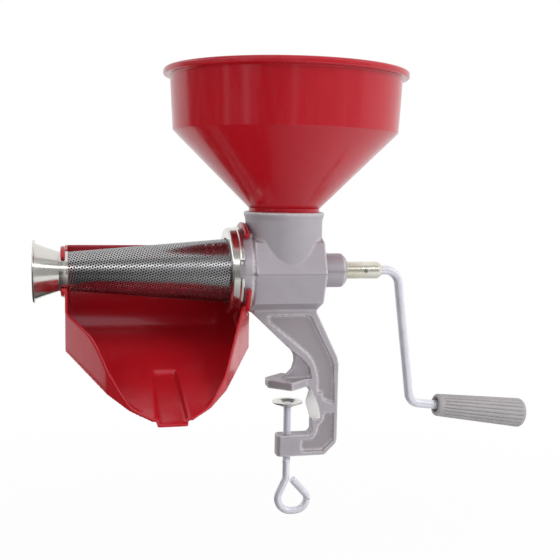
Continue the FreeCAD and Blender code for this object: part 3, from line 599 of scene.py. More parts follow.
class Finish(Nodes):
    """A principled material with object coordinates at hand."""

    def __init__(self, name, colour, roughness, metallic=0.0):
        self.material = bpy.data.materials.new(name)
        self.material.use_nodes = True
        super().__init__(self.material.node_tree)
        self.shader = self.tree.nodes["Principled BSDF"]
        self.colour = colour
        self.set("Base Color", (*colour, 1.0))
        self.set("Roughness", roughness)
        self.set("Metallic", metallic)
        self.coordinates = self.add("ShaderNodeTexCoord").outputs["Object"]
        self.normal = None

    def set(self, label, value):
        self.feed(self.shader.inputs[label], value)

    def stretched(self, x, y, z):
        """Object coordinates scaled unevenly, so that a pattern is drawn out."""
        return self.add("ShaderNodeMapping", {"Vector": self.coordinates, "Scale": (x, y, z)}).outputs[0]

    def noise(self, scale, detail=2.0, where=None):
        made = self.add("ShaderNodeTexNoise", {"Scale": scale, "Detail": detail})
        self.feed(made.inputs["Vector"], where or self.coordinates)
        return made.outputs[0]

    def blend(self, factor, first, second):
        """A colour between two others. The three sockets are the factor and the two colours."""
        made = self.add("ShaderNodeMix", {0: factor, 6: first, 7: second}, data_type="RGBA")
        return made.outputs[2]

    def vary_colour(self, factor, low, high):
        """Shade the base colour from low to high times itself, by a factor from 0 to 1."""
        darker, lighter = ([min(1.0, c * by) for c in self.colour] + [1.0] for by in (low, high))
        mixed = self.blend(factor, darker, lighter)
        self.set("Base Color", mixed)
        return mixed

    def vary_roughness(self, factor, low, high):
        """Let the roughness go from low to high over the middle range of a noise."""
        self.set("Roughness", self.ramp(factor, *NOISE_RANGE, low, high))

    def bump(self, height, depth):
        """Relief of this depth in millimetres, added to the relief so far."""
        made = self.add("ShaderNodeBump", {"Distance": depth * MM, "Height": height})
        if self.normal:
            self.feed(made.inputs["Normal"], self.normal)
        self.normal = made.outputs[0]
        self.set("Normal", self.normal)


def red_moulding():
    """Glossy moulded plastic with a faint ripple, and scuffs in its gloss."""
    finish = Finish("red_moulding", (0.40, 0.006, 0.012), 0.2)
    finish.set("Coat Weight", 0.15)
    finish.set("Coat Roughness", 0.06)
    finish.set("Specular Tint", (1.0, 0.78, 0.95, 1.0))
    finish.vary_colour(finish.noise(14.0, 3.0), 0.88, 1.1)
    scuff = finish.noise(160.0, 5.0, finish.stretched(1.0, 1.0, 0.25))
    finish.vary_roughness(scuff, 0.15, 0.26)
    finish.bump(finish.noise(260.0, 2.0), 0.02)
    finish.bump(finish.noise(2400.0, 2.0), 0.006)
    return finish.material


def cast_body():
    """Tumbled grey casting: fine grain, cloudy tone, and edges made bright, partly as wear and partly as
    painted highlight.

    Its sunk panels are darker with painted shade, the left-facing facets in its throat are painted
    near-white as painted light, and its parting line is dark.
    """
    # Painted shade: the floors of the sunk panels are blended towards a darker grey
    panel_painted_shade = (0.33, 0.295, 0.32, 1.0)
    # Painted light: the left-facing facets of the throat are blended towards near-white
    facet_painted_light = (0.96, 0.96, 0.94, 1.0)
    line_dark = (0.26, 0.235, 0.25, 1.0)
    # Edge colour: partly wear, partly painted highlight, laid on inward edges as well as outward ones
    edge_wear_and_highlight = (0.72, 0.70, 0.71, 1.0)
    finish = Finish("cast_body", (0.41, 0.385, 0.42), 0.5, CAST_METALLIC)
    cloud = finish.vary_colour(finish.noise(60.0, 4.0), 0.9, 1.1)
    marks = ("panel", "facet", "edge", "parting")
    panel, facet, edge, parting = (finish.attribute(name) for name in marks)
    shaded_panels = finish.blend(finish.times(panel, 0.8), cloud, panel_painted_shade)
    painted_lighter = finish.blend(finish.times(facet, 0.9), shaded_panels, facet_painted_light)
    off_line = finish.minus(1.0, finish.ramp(parting, 0.0, 0.3))
    # Painted highlight and wear: sharply turning edges are lightened, except on the parting line
    worn_and_highlit = finish.times(finish.math("POWER", edge, 1.6), off_line)
    rubbed_and_highlit = finish.times(worn_and_highlit, finish.ramp(finish.noise(420.0, 3.0), 0.2, 0.55))
    lined = finish.blend(finish.times(parting, 0.7), painted_lighter, line_dark)
    finish.set("Base Color", finish.blend(rubbed_and_highlit, lined, edge_wear_and_highlight))
    dull = finish.ramp(finish.noise(900.0, 3.0), *NOISE_RANGE, 0.42, 0.58)
    finish.set("Roughness", finish.minus(dull, finish.times(rubbed_and_highlit, 0.2)))
    # The facets painted pale as painted light are also made hardly metallic
    less_metal = LIT_FACET_METALLIC - CAST_METALLIC
    finish.set("Metallic", finish.math("MULTIPLY_ADD", facet, less_metal, CAST_METALLIC))
    finish.bump(finish.noise(330.0, 3.0), 0.07)
    finish.bump(finish.noise(1500.0, 3.0), 0.05)
    finish.bump(finish.times(panel, finish.noise(900.0, 4.0)), 0.18)
    return finish.material


def turned_steel(name, colour, low, high):
    """Bright steel with fine lines round the shaft, from spinning."""
    finish = Finish(name, colour, low, 1.0)
    lines = finish.noise(1.0, 3.0, finish.stretched(2600.0, 6.0, 6.0))
    finish.vary_roughness(finish.noise(90.0, 4.0), low, high)
    finish.vary_colour(finish.noise(40.0, 3.0), 0.92, 1.05)
    finish.bump(lines, 0.004)
    return finish.material


def screen_steel():
    """Rolled perforated sheet: cloudy rolling marks along the cone, and painted shade, near-black, on
    its hole walls and inner face.
    """
    finish = Finish("screen_steel", (0.55, 0.55, 0.56), 0.24, 1.0)
    finish.vary_roughness(finish.noise(60.0, 4.0, finish.stretched(0.2, 1.0, 1.0)), 0.18, 0.32)
    rolled = finish.vary_colour(finish.noise(70.0, 3.0), 0.88, 1.06)
    # Painted shade: the hole walls and the inner face of the cone are made near-black
    hole_painted_shade = finish.ramp(finish.attribute("depth"), 0.0, 0.5)
    finish.set("Base Color", finish.blend(hole_painted_shade, rolled, (0.015, 0.014, 0.014, 1.0)))
    finish.bump(finish.noise(1.0, 2.0, finish.stretched(60.0, 1900.0, 1900.0)), 0.003)
    return finish.material


def yellow_zinc():
    """Pale yellow plating, cloudy in tint."""
    finish = Finish("yellow_zinc", (0.74, 0.71, 0.60), 0.28, 1.0)
    tint = finish.ramp(finish.noise(70.0, 2.0), *NOISE_RANGE)
    finish.set("Base Color", finish.blend(tint, (0.70, 0.66, 0.54, 1.0), (0.80, 0.78, 0.70, 1.0)))
    finish.vary_roughness(finish.noise(120.0, 3.0), 0.26, 0.36)
    finish.bump(finish.noise(1.0, 2.0, finish.stretched(1800.0, 8.0, 8.0)), 0.0015)
    return finish.material


def plated_wire():
    """Bright zinc on drawn rod: cool, slightly uneven, with faint draw marks."""
    finish = Finish("plated_rod", (0.74, 0.74, 0.81), 0.34, 0.6)
    finish.vary_roughness(finish.noise(140.0, 4.0), 0.28, 0.42)
    finish.vary_colour(finish.noise(55.0, 3.0), 0.93, 1.06)
    finish.bump(finish.noise(520.0, 3.0), 0.005)
    return finish.material


def grey_moulding():
    """Dull grey plastic with a fine spark-eroded grain."""
    finish = Finish("grey_moulding", (0.33, 0.315, 0.325), 0.5)
    finish.vary_colour(finish.noise(45.0, 3.0), 0.9, 1.08)
    finish.vary_roughness(finish.noise(500.0, 3.0), 0.42, 0.58)
    finish.bump(finish.noise(1700.0, 3.0), 0.03)
    return finish.material


def auger_casting():
    """Near-black plain casting, dull and uneven; its near-black is painted shade for the inside of the
    cone.
    """
    finish = Finish("auger_casting", (0.05, 0.049, 0.05), 0.55, 0.3)
    finish.vary_colour(finish.noise(120.0, 4.0), 0.8, 1.12)
    finish.vary_roughness(finish.noise(300.0, 3.0), 0.4, 0.6)
    finish.bump(finish.noise(700.0, 3.0), 0.06)
    return finish.material


def small_finish(name, colour, roughness, metallic, grain, depth):
    """Finish of the small inner pieces: one colour, uneven gloss and a fine grain."""
    finish = Finish(name, colour, roughness, metallic)
    finish.vary_colour(finish.noise(200.0, 3.0), 0.85, 1.1)
    finish.vary_roughness(finish.noise(400.0, 3.0), roughness * 0.8, roughness * 1.2)
    finish.bump(finish.noise(grain, 2.0), depth)
    return finish.material


RED = red_moulding()
CAST = cast_body()
BRIGHT = turned_steel("bright_steel", (0.72, 0.70, 0.66), 0.12, 0.22)
SCREEN = screen_steel()
ZINC = yellow_zinc()
PLATED = plated_wire()
GREY = grey_moulding()
# The auger's near-black is painted shade for the inside of the cone
AUGER_SHADE = auger_casting()
BRONZE = small_finish("bush_bronze", (0.50, 0.34, 0.17), 0.4, 1.0, 1500.0, 0.02)
RUBBER = small_finish("seal_rubber", (0.035, 0.035, 0.036), 0.6, 0.0, 900.0, 0.02)
PIN = small_finish("pin_steel", (0.36, 0.35, 0.34), 0.35, 1.0, 1200.0, 0.01)


# Hopper


def make_hopper():
    """Bowl with a turned-over lip, a crease, a cone and a spigot, in one moulding."""
    spigot_inside = SPIGOT_RADIUS - HOPPER_WALL
    lip_low = RIM_TOP - LIP_HEIGHT
    outline = rounded([
        (spigot_inside, SPIGOT_FOOT_Z, 0.6),
        (spigot_inside, CONE_FOOT_Z + INSIDE_RISE, 3.0),
        (CREASE_RADIUS - HOPPER_WALL, CREASE_Z + INSIDE_RISE, 3.0),
        (BOWL_RADIUS - HOPPER_WALL, lip_low, 6.0),
        (BOWL_RADIUS, RIM_TOP, 2.4),
        (RIM_RADIUS, RIM_TOP, 2.6),
        (RIM_RADIUS, lip_low + LIP_EDGE, 1.6),
        (BOWL_RADIUS, lip_low + LIP_ROOT, 1.0),
        (CREASE_RADIUS, CREASE_Z, 2.0),
        (SPIGOT_RADIUS, CONE_FOOT_Z, 1.2),
        (SPIGOT_RADIUS, SPIGOT_FOOT_Z, 0.6),
    ], steps=5)
    obj = lathe("hopper_bowl", [(z, r) for r, z in outline], "Z", steps=240)
    place(obj, "hopper", ["hopper"], RED, sharp=50.0)


# Body casting


def mark_edges(obj):
    """Give each point an edge value: how sharply the skin turns there, outwards or inwards."""
    work = bmesh.new()
    work.from_mesh(obj.data)
    work.normal_update()
    values = []
    for vert in work.verts:
        bend = 0.0
        for edge in vert.link_edges:
            away = edge.other_vert(vert).co - vert.co
            bend += -away.normalized().dot(vert.normal)
        values.append(bend / max(1, len(vert.link_edges)))
    spread = []
    for vert in work.verts:
        near = [values[edge.other_vert(vert).index] for edge in vert.link_edges]
        spread.append(abs(values[vert.index] + sum(near)) / (1 + len(near)) / EDGE_TURN)
    work.free()
    keep_values(obj, "edge", spread)


def mark_faces(obj):
    """Mark the floors of the sunk panels, for painted shade, the facets of the throat, for painted
    light, and the parting line.
    """
    panels = []
    facets = []
    partings = []
    for vert in obj.data.vertices:
        x, y, z = vert.co / MM
        flat = abs(vert.normal.y) > FLAT_FACE and z < CHAMBER_FOOT_Z
        panels.append(1.0 if flat and abs(abs(y) - PANEL_Y) < PANEL_ROOM else 0.0)
        in_throat = FACET_X[0] < x < FACET_X[1] and FACET_Z[0] < z < FACET_Z[1]
        looks_in = vert.normal.x < -FACET_LEAN and abs(y) < FACET_HALF
        facets.append(1.0 if in_throat and looks_in else 0.0)
        partings.append(1.0 - abs(z) / PARTING_HALF)
    keep_values(obj, "panel", panels)
    keep_values(obj, "facet", facets)
    keep_values(obj, "parting", partings)


def make_casting():
    obj = soften(solid_copy("casting", "body_casting"), grain=1.06, passes=3)
    mark_edges(obj)
    mark_faces(obj)
    place(obj, "frame", ["body_casting"], CAST, sharp=180.0)


# Strainer


def hole_cell():
    """One six-sided cell of the sheet with a round hole, and how deep each of its points is."""
    sides = 12
    corner = math.radians(30)
    hexagon = []
    circle = []
    for k in range(sides):
        angle = TURN * k / sides + corner
        reach = HOLE_PITCH / 2 if k % 2 else HOLE_PITCH / 2 / math.cos(corner)
        hexagon.append((reach * math.cos(angle), reach * math.sin(angle)))
        circle.append((HOLE_RADIUS * math.cos(angle), HOLE_RADIUS * math.sin(angle)))
    rings = ((hexagon, 0.0), (circle, 0.0), (circle, -CONE_WALL), (hexagon, -CONE_WALL))
    points = [(x, y, depth) for ring, depth in rings for x, y in ring]
    faces = []
    for ring in range(len(rings) - 1):
        for k in range(sides):
            after = (k + 1) % sides
            first, second = ring * sides, (ring + 1) * sides
            faces.append((first + k, first + after, second + after, second + k))
    cell = new_piece("hole_cell", points, faces)
    keep_values(cell, "depth", [-depth / CONE_WALL for x, y, depth in points])
    return cell


def cone_radius(x):
    return CONE_SMALL + CONE_SLOPE * (x - CONE_SMALL_X)


def flat_polar(tree):
    """Distance and angle of each point of the flat sheet from the cone's tip."""
    x, y = tree.position()[:2]
    return tree.length(x, y), tree.math("ARCTAN2", y, x)


def lay_points(tree):
    """A staggered grid of points over the flat sheet, with its rows turned."""
    given = tree.given
    row_gap = tree.times(given["Pitch"], ROW_RATIO)
    wide = tree.times(row_gap, tree.minus(given["Rows"], 1.0))
    long = tree.times(given["Pitch"], tree.minus(given["Columns"], 1.0))
    grid = tree.add("GeometryNodeMeshGrid", {
        "Size X": long, "Size Y": wide, "Vertices X": given["Columns"], "Vertices Y": given["Rows"],
    })
    tree.shape = grid.outputs[0]
    y = tree.position()[1]
    row = tree.math("ROUND", tree.math("DIVIDE", tree.plus(y, tree.times(wide, 0.5)), row_gap))
    stagger = tree.times(tree.math("MODULO", row, 2.0), tree.times(given["Pitch"], 0.5))
    tree.step("GeometryNodeSetPosition", {"Offset": tree.vector(stagger, 0.0, 0.0)})
    middle = tree.times(tree.plus(given["Near"], given["Far"]), 0.5)
    tree.step("GeometryNodeTransform", {
        "Translation": tree.vector(middle, 0.0, 0.0),
        "Rotation": tree.vector(0.0, 0.0, given["Rows turn"]),
    })


def trim_points(tree):
    """Drop the points that lie off this half of the sheet."""
    given = tree.given
    slant, turn = flat_polar(tree)
    margin = tree.times(given["Pitch"], HOLE_MARGIN)
    too_near = tree.math("LESS_THAN", slant, tree.plus(given["Near"], margin))
    too_far = tree.math("GREATER_THAN", slant, given["Far"])
    side = tree.plus(tree.math("ABSOLUTE", turn), tree.math("DIVIDE", margin, slant))
    too_wide = tree.math("GREATER_THAN", side, given["Half sheet"])
    other_half = tree.math("LESS_THAN", tree.times(turn, given["Half"]), 0.0)
    outside = tree.plus(tree.plus(too_near, too_far), tree.plus(too_wide, other_half))
    dropped = tree.math("GREATER_THAN", outside, 0.5)
    tree.step("GeometryNodeDeleteGeometry", {"Selection": dropped}, domain="POINT")


def set_cells(tree):
    """A cell with its hole at each point, merged with its neighbours."""
    given = tree.given
    cell = tree.add("GeometryNodeObjectInfo", {"Object": given["Hole cell"]}).outputs["Geometry"]
    tree.step("GeometryNodeInstanceOnPoints", {
        "Instance": cell, "Rotation": tree.vector(0.0, 0.0, given["Rows turn"]),
    })
    tree.step("GeometryNodeRealizeInstances")
    tree.step("GeometryNodeMergeByDistance", {"Distance": CELL_MERGE * MM})


def roll_up(tree):
    """Roll the flat sheet about the cone's axis."""
    given = tree.given
    z = tree.position()[2]
    slant, turn = flat_polar(tree)
    turn = tree.math("DIVIDE", turn, given["Sine"])
    radius = tree.plus(tree.times(slant, given["Sine"]), tree.times(z, given["Cosine"]))
    start = tree.times(given["Near"], given["Cosine"])
    along = tree.plus(tree.minus(tree.times(slant, given["Cosine"]), start), given["Small end"])
    front = tree.times(tree.times(radius, tree.math("COSINE", turn)), -1.0)
    up = tree.times(radius, tree.math("SINE", turn))
    tree.step("GeometryNodeSetPosition", {"Position": tree.vector(along, front, up)})


def rolled_sheet(name, cell, half):
    """Half of a flat perforated sheet, cut as a sector and rolled into a cone.

    The upper half has 1 for half, and the lower one -1.
    """
    lean = math.atan(CONE_SLOPE)
    sine, cosine = math.sin(lean), math.cos(lean)
    near = cone_radius(SCREEN_START_X) / sine
    far = cone_radius(SCREEN_END_X) / sine
    half_sheet = math.pi * sine
    reach = SHEET_SPARE * max(far - near, 2 * far * math.sin(half_sheet))
    tree = PieceTree(name + "_rule", {
        "Hole cell": cell,
        "Pitch": HOLE_PITCH * MM,
        "Rows": math.ceil(reach / (HOLE_PITCH * ROW_RATIO)),
        "Columns": math.ceil(reach / HOLE_PITCH),
        "Rows turn": HOLE_ROWS_TURN,
        "Near": near * MM,
        "Far": far * MM,
        "Half": half,
        "Half sheet": half_sheet,
        "Sine": sine,
        "Cosine": cosine,
        "Small end": SCREEN_START_X * MM,
    })
    lay_points(tree)
    trim_points(tree)
    set_cells(tree)
    roll_up(tree)
    sheet = new_piece(name, [(0.0, 0.0, 0.0)], [])
    tree.run(sheet, SCREEN)
    place(sheet, "strainer", ["strainer_cone"], None, sharp=40.0)


def screen_seam():
    """The lapped seam of the rolled sheet, at the back."""
    steps = 6
    sections = []
    for x in (CONE_SMALL_X, SCREEN_END_X):
        loop = []
        for shift, order in ((SEAM_PROUD, 1), (-CONE_WALL, -1)):
            radius = cone_radius(x) + shift
            for k in range(steps + 1):
                angle = SEAM_HALF * (2 * k / steps - 1) * order
                loop.append((x, radius * math.cos(angle), radius * math.sin(angle)))
        sections.append(loop)
    return ring_solid("screen_seam", sections)


def make_screen():
    """The perforated cone in two halves, its plain end band and its seam."""
    cell = hole_cell()
    rolled_sheet("screen_upper", cell, 1)
    rolled_sheet("screen_lower", cell, -1)
    bpy.data.objects.remove(cell)
    inside = CONE_SMALL - CONE_WALL
    band = lathe("screen_end_band", [
        (CONE_END_X, inside),
        (CONE_END_X, CONE_SMALL),
        (PLAIN_END_X, CONE_SMALL),
        (PLAIN_END_X, inside),
    ])
    plain = join("screen_plain", [band, screen_seam()])
    place(plain, "strainer", ["strainer_cone"], SCREEN, sharp=30.0)


def ring_block(left, right, first, last):
    """A block bent round the shaft, from one angle to another, as deep as the slots are cut."""
    inner, outer = SLOT_REACH
    steps = 10
    sections = []
    for k in range(steps + 1):
        angle = math.radians(first + (last - first) * k / steps)
        loop = []
        for x, radius in ((left, inner), (right, inner), (right, outer), (left, outer)):
            loop.append((x, -radius * math.sin(angle), radius * math.cos(angle)))
        sections.append(loop)
    return ring_solid("slot", sections)


def slot_cutter(start):
    """The hooked slot of the collar: a run round the collar and a way in from the rear."""
    wide = math.degrees(SLOT_HALF / COLLAR_RADIUS)
    end = start + SLOT_TURN
    left, right = LUG_X - SLOT_HALF, LUG_X + SLOT_HALF
    run = ring_block(left, right, start - wide, end + wide)
    way_in = ring_block(left + SLOT_SHY, COLLAR_REAR_X + SLOT_PAST, end - wide, end + wide - SLOT_SHY)
    return [run, way_in]


def make_collar():
    """A pressed cap with a bead round its rear and three hooked slots."""
    inside = COLLAR_RADIUS - COLLAR_WALL
    front_wall = CONE_LARGE_X + COLLAR_FACE
    rear = COLLAR_REAR_X
    bead_foot, bead_left, bead_right = (rear - distance for distance in BEAD_BACK)
    outline = rounded([
        (COLLAR_FRONT_X, COLLAR_MOUTH, 0.5),
        (COLLAR_FRONT_X, COLLAR_RADIUS, 2.6),
        (bead_foot, COLLAR_RADIUS, 0.8),
        (bead_left, BEAD_RADIUS, 0.9),
        (bead_right, BEAD_RADIUS, 0.9),
        (rear, COLLAR_RADIUS - REAR_DROP, 0.5),
        (rear, inside, 0.3),
        (front_wall, inside, 0.8),
        (front_wall, COLLAR_MOUTH, 0.5),
    ], steps=5)
    obj = lathe("collar_cap", outline, steps=192)
    cutters = []
    for k in range(LUGS):
        cutters += slot_cutter(LUG_ANGLE + 360.0 * k / LUGS)
    carve(obj, join("slots", cutters))
    place(obj, "strainer", ["collar"], BRIGHT, sharp=30.0)


def make_spout():
    """A spun trumpet: straight throat, hollow flare and a rolled rim."""
    throat = CONE_SMALL
    wall = SPOUT_WALL
    start = BAND_LEFT_X
    end = SPOUT_RIM_X + SPOUT_RIM_WIDTH
    steps = 14
    flare = []
    for k in range(steps + 1):
        share = k / steps
        grow = (1 - FLARE_CURL) * share + FLARE_CURL * share ** 3
        flare.append((start + (end - start) * share, throat + (SPOUT_FLARE - throat) * grow))
    outer = [(CONE_END_X, throat)] + flare
    rim = rounded([
        (end, SPOUT_FLARE, 0.0),
        (end, SPOUT_RIM, 0.5),
        (SPOUT_RIM_X, SPOUT_RIM, 0.9),
        (SPOUT_RIM_X, SPOUT_MOUTH, 1.2),
        (end, SPOUT_FLARE - wall, 0.0),
    ], closed=False)
    inner = [(x, radius - wall) for x, radius in flare[-2::-1]] + [(CONE_END_X, throat - wall)]
    obj = lathe("waste_trumpet", outer + rim[1:] + inner)
    place(obj, "strainer", ["waste_spout"], BRIGHT, sharp=40.0)


def make_outlet_ring():
    """The plain ring between screen and spout."""
    inside = CONE_SMALL
    outside = inside + BAND_WALL
    band = lathe("outlet_ring", rounded([
        (BAND_LEFT_X, inside, 0.0),
        (BAND_LEFT_X, outside, 0.2),
        (BAND_RIGHT_X, outside, 0.2),
        (BAND_RIGHT_X, inside, 0.0),
    ]))
    place(band, "strainer", ["outlet_band"], BRIGHT, sharp=40.0)


# Drive


def bent_wire(name, corners, bends, radius, material):
    """A round wire through corners, each bent to its own radius."""
    obj = new_piece(name, corners, [], [(i, i + 1) for i in range(len(corners) - 1)])
    layer = obj.data.attributes.new("bend", "FLOAT", "POINT")
    layer.data.foreach_set("value", [0.0] + [b * MM for b in bends] + [0.0])
    tree = PieceTree(name + "_path", {"Wire radius": radius * MM, "Bend steps": 14, "Round steps": 40})
    bend = tree.add("GeometryNodeInputNamedAttribute", {"Name": "bend"}, data_type="FLOAT").outputs[0]
    tree.step("GeometryNodeMeshToCurve")
    given = tree.given
    tree.step("GeometryNodeFilletCurve", {"Count": given["Bend steps"], "Radius": bend}, mode="POLY")
    circle = tree.add("GeometryNodeCurvePrimitiveCircle", {
        "Resolution": given["Round steps"], "Radius": given["Wire radius"],
    })
    tree.step("GeometryNodeCurveToMesh", {"Profile Curve": circle.outputs[0], "Fill Caps": True})
    tree.run(obj, material)
    return tidy_mesh(obj)


def on_grip(distance):
    """A point on the grip's axis, this far past the rod's knee."""
    return (KNEE[0] + distance * math.cos(GRIP_TILT), 0.0, KNEE[1] - distance * math.sin(GRIP_TILT))


def make_crank_rod():
    end = GRIP_START + GRIP_LENGTH - CAP_LENGTH - ROD_END_GAP
    corners = [(ROD_START_X, 0, 0), (ROD_TOP_X, 0, 0), on_grip(0.0), on_grip(end)]
    rod = bent_wire("crank_wire", corners, ROD_BENDS, ROD_RADIUS, PLATED)
    place(rod, "crank", ["crank_rod"], PLATED, sharp=40.0)


def make_shaft():
    """Sleeve with a rounded nose and a deep socket, a flange, and the square that drives the auger."""
    left, right = FLANGE_X
    socket = ROD_RADIUS + SOCKET_ROOM
    obj = lathe("shaft_sleeve", rounded([
        (left, ON_AXIS, 0.0),
        (left, FLANGE_RADIUS, 0.4),
        (right, FLANGE_RADIUS, 0.4),
        (right, SHAFT_RADIUS, 0.0),
        (SHAFT_END_X - NOSE_LENGTH, SHAFT_RADIUS, 1.2),
        (SHAFT_END_X, SHAFT_RADIUS - NOSE_DROP, 0.8),
        (SHAFT_END_X, socket, 0.3),
        (SOCKET_X, socket, 0.0),
        (SOCKET_X, ON_AXIS, 0.0),
    ]), steps=96)
    half = SQUARE / 2
    corners = [(-half, -half), (half, -half), (half, half), (-half, half)]
    square = prism("square", rounded([(y, z, 0.5) for y, z in corners]), SQUARE_X, left)
    place(join("shaft_sleeve", [obj, square]), "crank", ["drive_shaft"], ZINC, sharp=30.0)


def grip_shape(name, outline):
    """Turn a grip piece and sink the flutes into it, from near the mouth to the round end."""
    fine = []
    for here, after in zip(outline, outline[1:] + outline[:1]):
        steps = max(1, round(math.dist(here, after) / FLUTE_STEP))
        for k in range(steps):
            fine.append([start + (end - start) * k / steps for start, end in zip(here, after)])
    obj = lathe(name, fine, steps=FLUTES * FLUTE_SIDES)
    first, last = FLUTE_RUN
    tree = PieceTree(name + "_flutes", {
        "Flutes": FLUTES,
        "Depth": FLUTE_DEPTH * MM,
        "First": first * MM,
        "Last": last * MM,
        "Skin": FLUTE_SKIN * MM,
    })
    given = tree.given
    x, y, z = tree.position()
    angle = tree.math("ARCTAN2", y, z)
    radius = tree.length(y, z)
    wave = tree.math("MULTIPLY_ADD", tree.math("COSINE", tree.times(angle, given["Flutes"])), 0.5, 0.5)
    groove = tree.math("POWER", wave, FLUTE_NARROW)
    fade_in, fade_out = FLUTE_FADE
    starts = tree.ramp(x, given["First"], tree.plus(given["First"], fade_in * MM))
    ends = tree.ramp(x, tree.minus(given["Last"], fade_out * MM), given["Last"], 1.0, 0.0)
    skin = tree.math("GREATER_THAN", radius, given["Skin"])
    sink = tree.times(tree.times(starts, ends), tree.times(groove, skin))
    push = tree.math("DIVIDE", tree.times(tree.times(sink, given["Depth"]), -1.0), radius)
    shift = tree.vector(0.0, tree.times(y, push), tree.times(z, push))
    tree.step("GeometryNodeSetPosition", {"Offset": shift})
    tree.run(obj, GREY)
    lean = Matrix.Rotation(GRIP_TILT, 4, "Y")
    obj.data.transform(Matrix.Translation(Vector(on_grip(GRIP_START)) * MM) @ lean)
    return obj


def make_grip():
    """The fluted grip, with a mouth round the rod and room for the push nut at its far end."""
    bore = ROD_RADIUS + GRIP_ROOM
    end = GRIP_LENGTH - CAP_LENGTH
    mouth_inner, mouth_outer = GRIP_MOUTH
    chamfer, chamfer_drop = GRIP_CHAMFER
    nut_depth, nut_radius = NUT_ROOM
    grip = grip_shape("fluted_grip", rounded([
        (MOUTH_DEPTH, bore, 0.0),
        (MOUTH_DEPTH, mouth_inner, 0.6),
        (0.0, mouth_outer, 0.8),
        (0.0, GRIP_SMALL - chamfer_drop, 1.2),
        (chamfer, GRIP_SMALL, 2.0),
        (end, GRIP_LARGE, 0.0),
        (end, nut_radius, 0.0),
        (end - nut_depth, nut_radius, 0.0),
        (end - nut_depth, bore, 0.0),
    ], steps=5))
    place(grip, "grip", ["crank_grip"], None, sharp=40.0)


def make_grip_cap():
    """The grip's round end, a little fuller than an ellipse."""
    end = GRIP_LENGTH - CAP_LENGTH
    dome = [(end, ON_AXIS), (end, GRIP_LARGE)]
    steps = 12
    for k in range(1, steps + 1):
        angle = math.pi / 2 * k / steps
        radius = GRIP_LARGE * math.cos(angle) ** CAP_FULLNESS
        dome.append((end + CAP_LENGTH * math.sin(angle), max(ON_AXIS, radius)))
    cap = grip_shape("grip_dome", dome)
    place(cap, "grip", ["grip_cap"], None, sharp=50.0)


def make_auger():
    place(solid_copy("feed_auger", "auger"), "crank", ["auger"], AUGER_SHADE)


# Clamp


def on_screw(obj):
    """Move a piece that was turned about the hopper's axis onto the clamp screw's axis."""
    obj.data.transform(Matrix.Translation((SCREW_X * MM, 0, 0)))
    return obj


def screw_thread(top):
    """The thread: a fine tube with a groove that climbs round it and fades out at its foot."""
    rows = 300
    outline = [(THREAD_END_Z + (top - THREAD_END_Z) * k / rows, THREAD_RADIUS) for k in range(rows + 1)]
    thread = lathe("thread", outline, "Z", steps=40, closed=False)
    plain, fade_run = THREAD_FADE
    tree = PieceTree("screw_thread", {
        "Pitch": THREAD_PITCH * MM,
        "Depth": THREAD_DEPTH * MM,
        "Plain below": (THREAD_END_Z + plain) * MM,
    })
    given = tree.given
    x, y, z = tree.position()
    climb = tree.math("DIVIDE", tree.math("ARCTAN2", y, x), TURN)
    phase = tree.math("FRACT", tree.minus(tree.math("DIVIDE", z, given["Pitch"]), climb))
    flank = tree.math("ABSOLUTE", tree.math("MULTIPLY_ADD", phase, 2.0, -1.0))
    cut = tree.ramp(flank, *THREAD_FLANK)
    fade = tree.ramp(z, given["Plain below"], tree.plus(given["Plain below"], fade_run * MM))
    sink = tree.times(tree.times(cut, fade), given["Depth"])
    push = tree.times(tree.math("DIVIDE", sink, THREAD_RADIUS * MM), -1.0)
    shift = tree.vector(tree.times(x, push), tree.times(y, push), 0.0)
    tree.step("GeometryNodeSetPosition", {"Offset": shift})
    tree.run(thread, PLATED)
    return on_screw(thread)


def rivet_head(top):
    """The turned end that holds the pad on the screw."""
    head_foot, head_top = (PAD_FOOT_Z + height for height in RIVET_HEAD_Z)
    wide, narrow = RIVET_HEAD
    return on_screw(lathe("rivet_head", rounded([
        (top - RIVET_ROOT, ON_AXIS, 0.0),
        (top - RIVET_ROOT, RIVET_RADIUS, 0.0),
        (head_foot, RIVET_RADIUS, 0.0),
        (head_foot, wide, 0.3),
        (head_top, narrow, 0.8),
        (head_top, ON_AXIS, 0.0),
    ]), "Z", steps=48))


def screw_loop():
    """The plain wire below the thread, bent into a loop that ends close to its own shank."""
    places = [
        (SCREW_X, THREAD_END_Z),
        (SCREW_X, LOOP_START_Z),
        (LOOP_LEFT_X, LOOP_FOOT_Z),
        (LOOP_RIGHT_X, LOOP_FOOT_Z),
        (LOOP_RIGHT_X, LOOP_SIDE_Z),
        LOOP_END,
    ]
    corners = [(x, 0, z) for x, z in places]
    return bent_wire("screw_loop", corners, LOOP_BENDS, WIRE_RADIUS, PLATED)


def make_clamp_screw():
    top = PAD_FOOT_Z - PAD_GAP
    thread = screw_thread(top)
    head = rivet_head(top)
    taper = [(THREAD_END_Z - TAPER_LENGTH, WIRE_RADIUS), (THREAD_END_Z, THREAD_RADIUS)]
    shoulder = on_screw(lathe("shoulder", taper, "Z", steps=40, closed=False))
    screw = join("clamp_wire_screw", [thread, head, shoulder, screw_loop()])
    place(screw, "clamp_screw", ["clamp_screw"], PLATED, sharp=40.0)


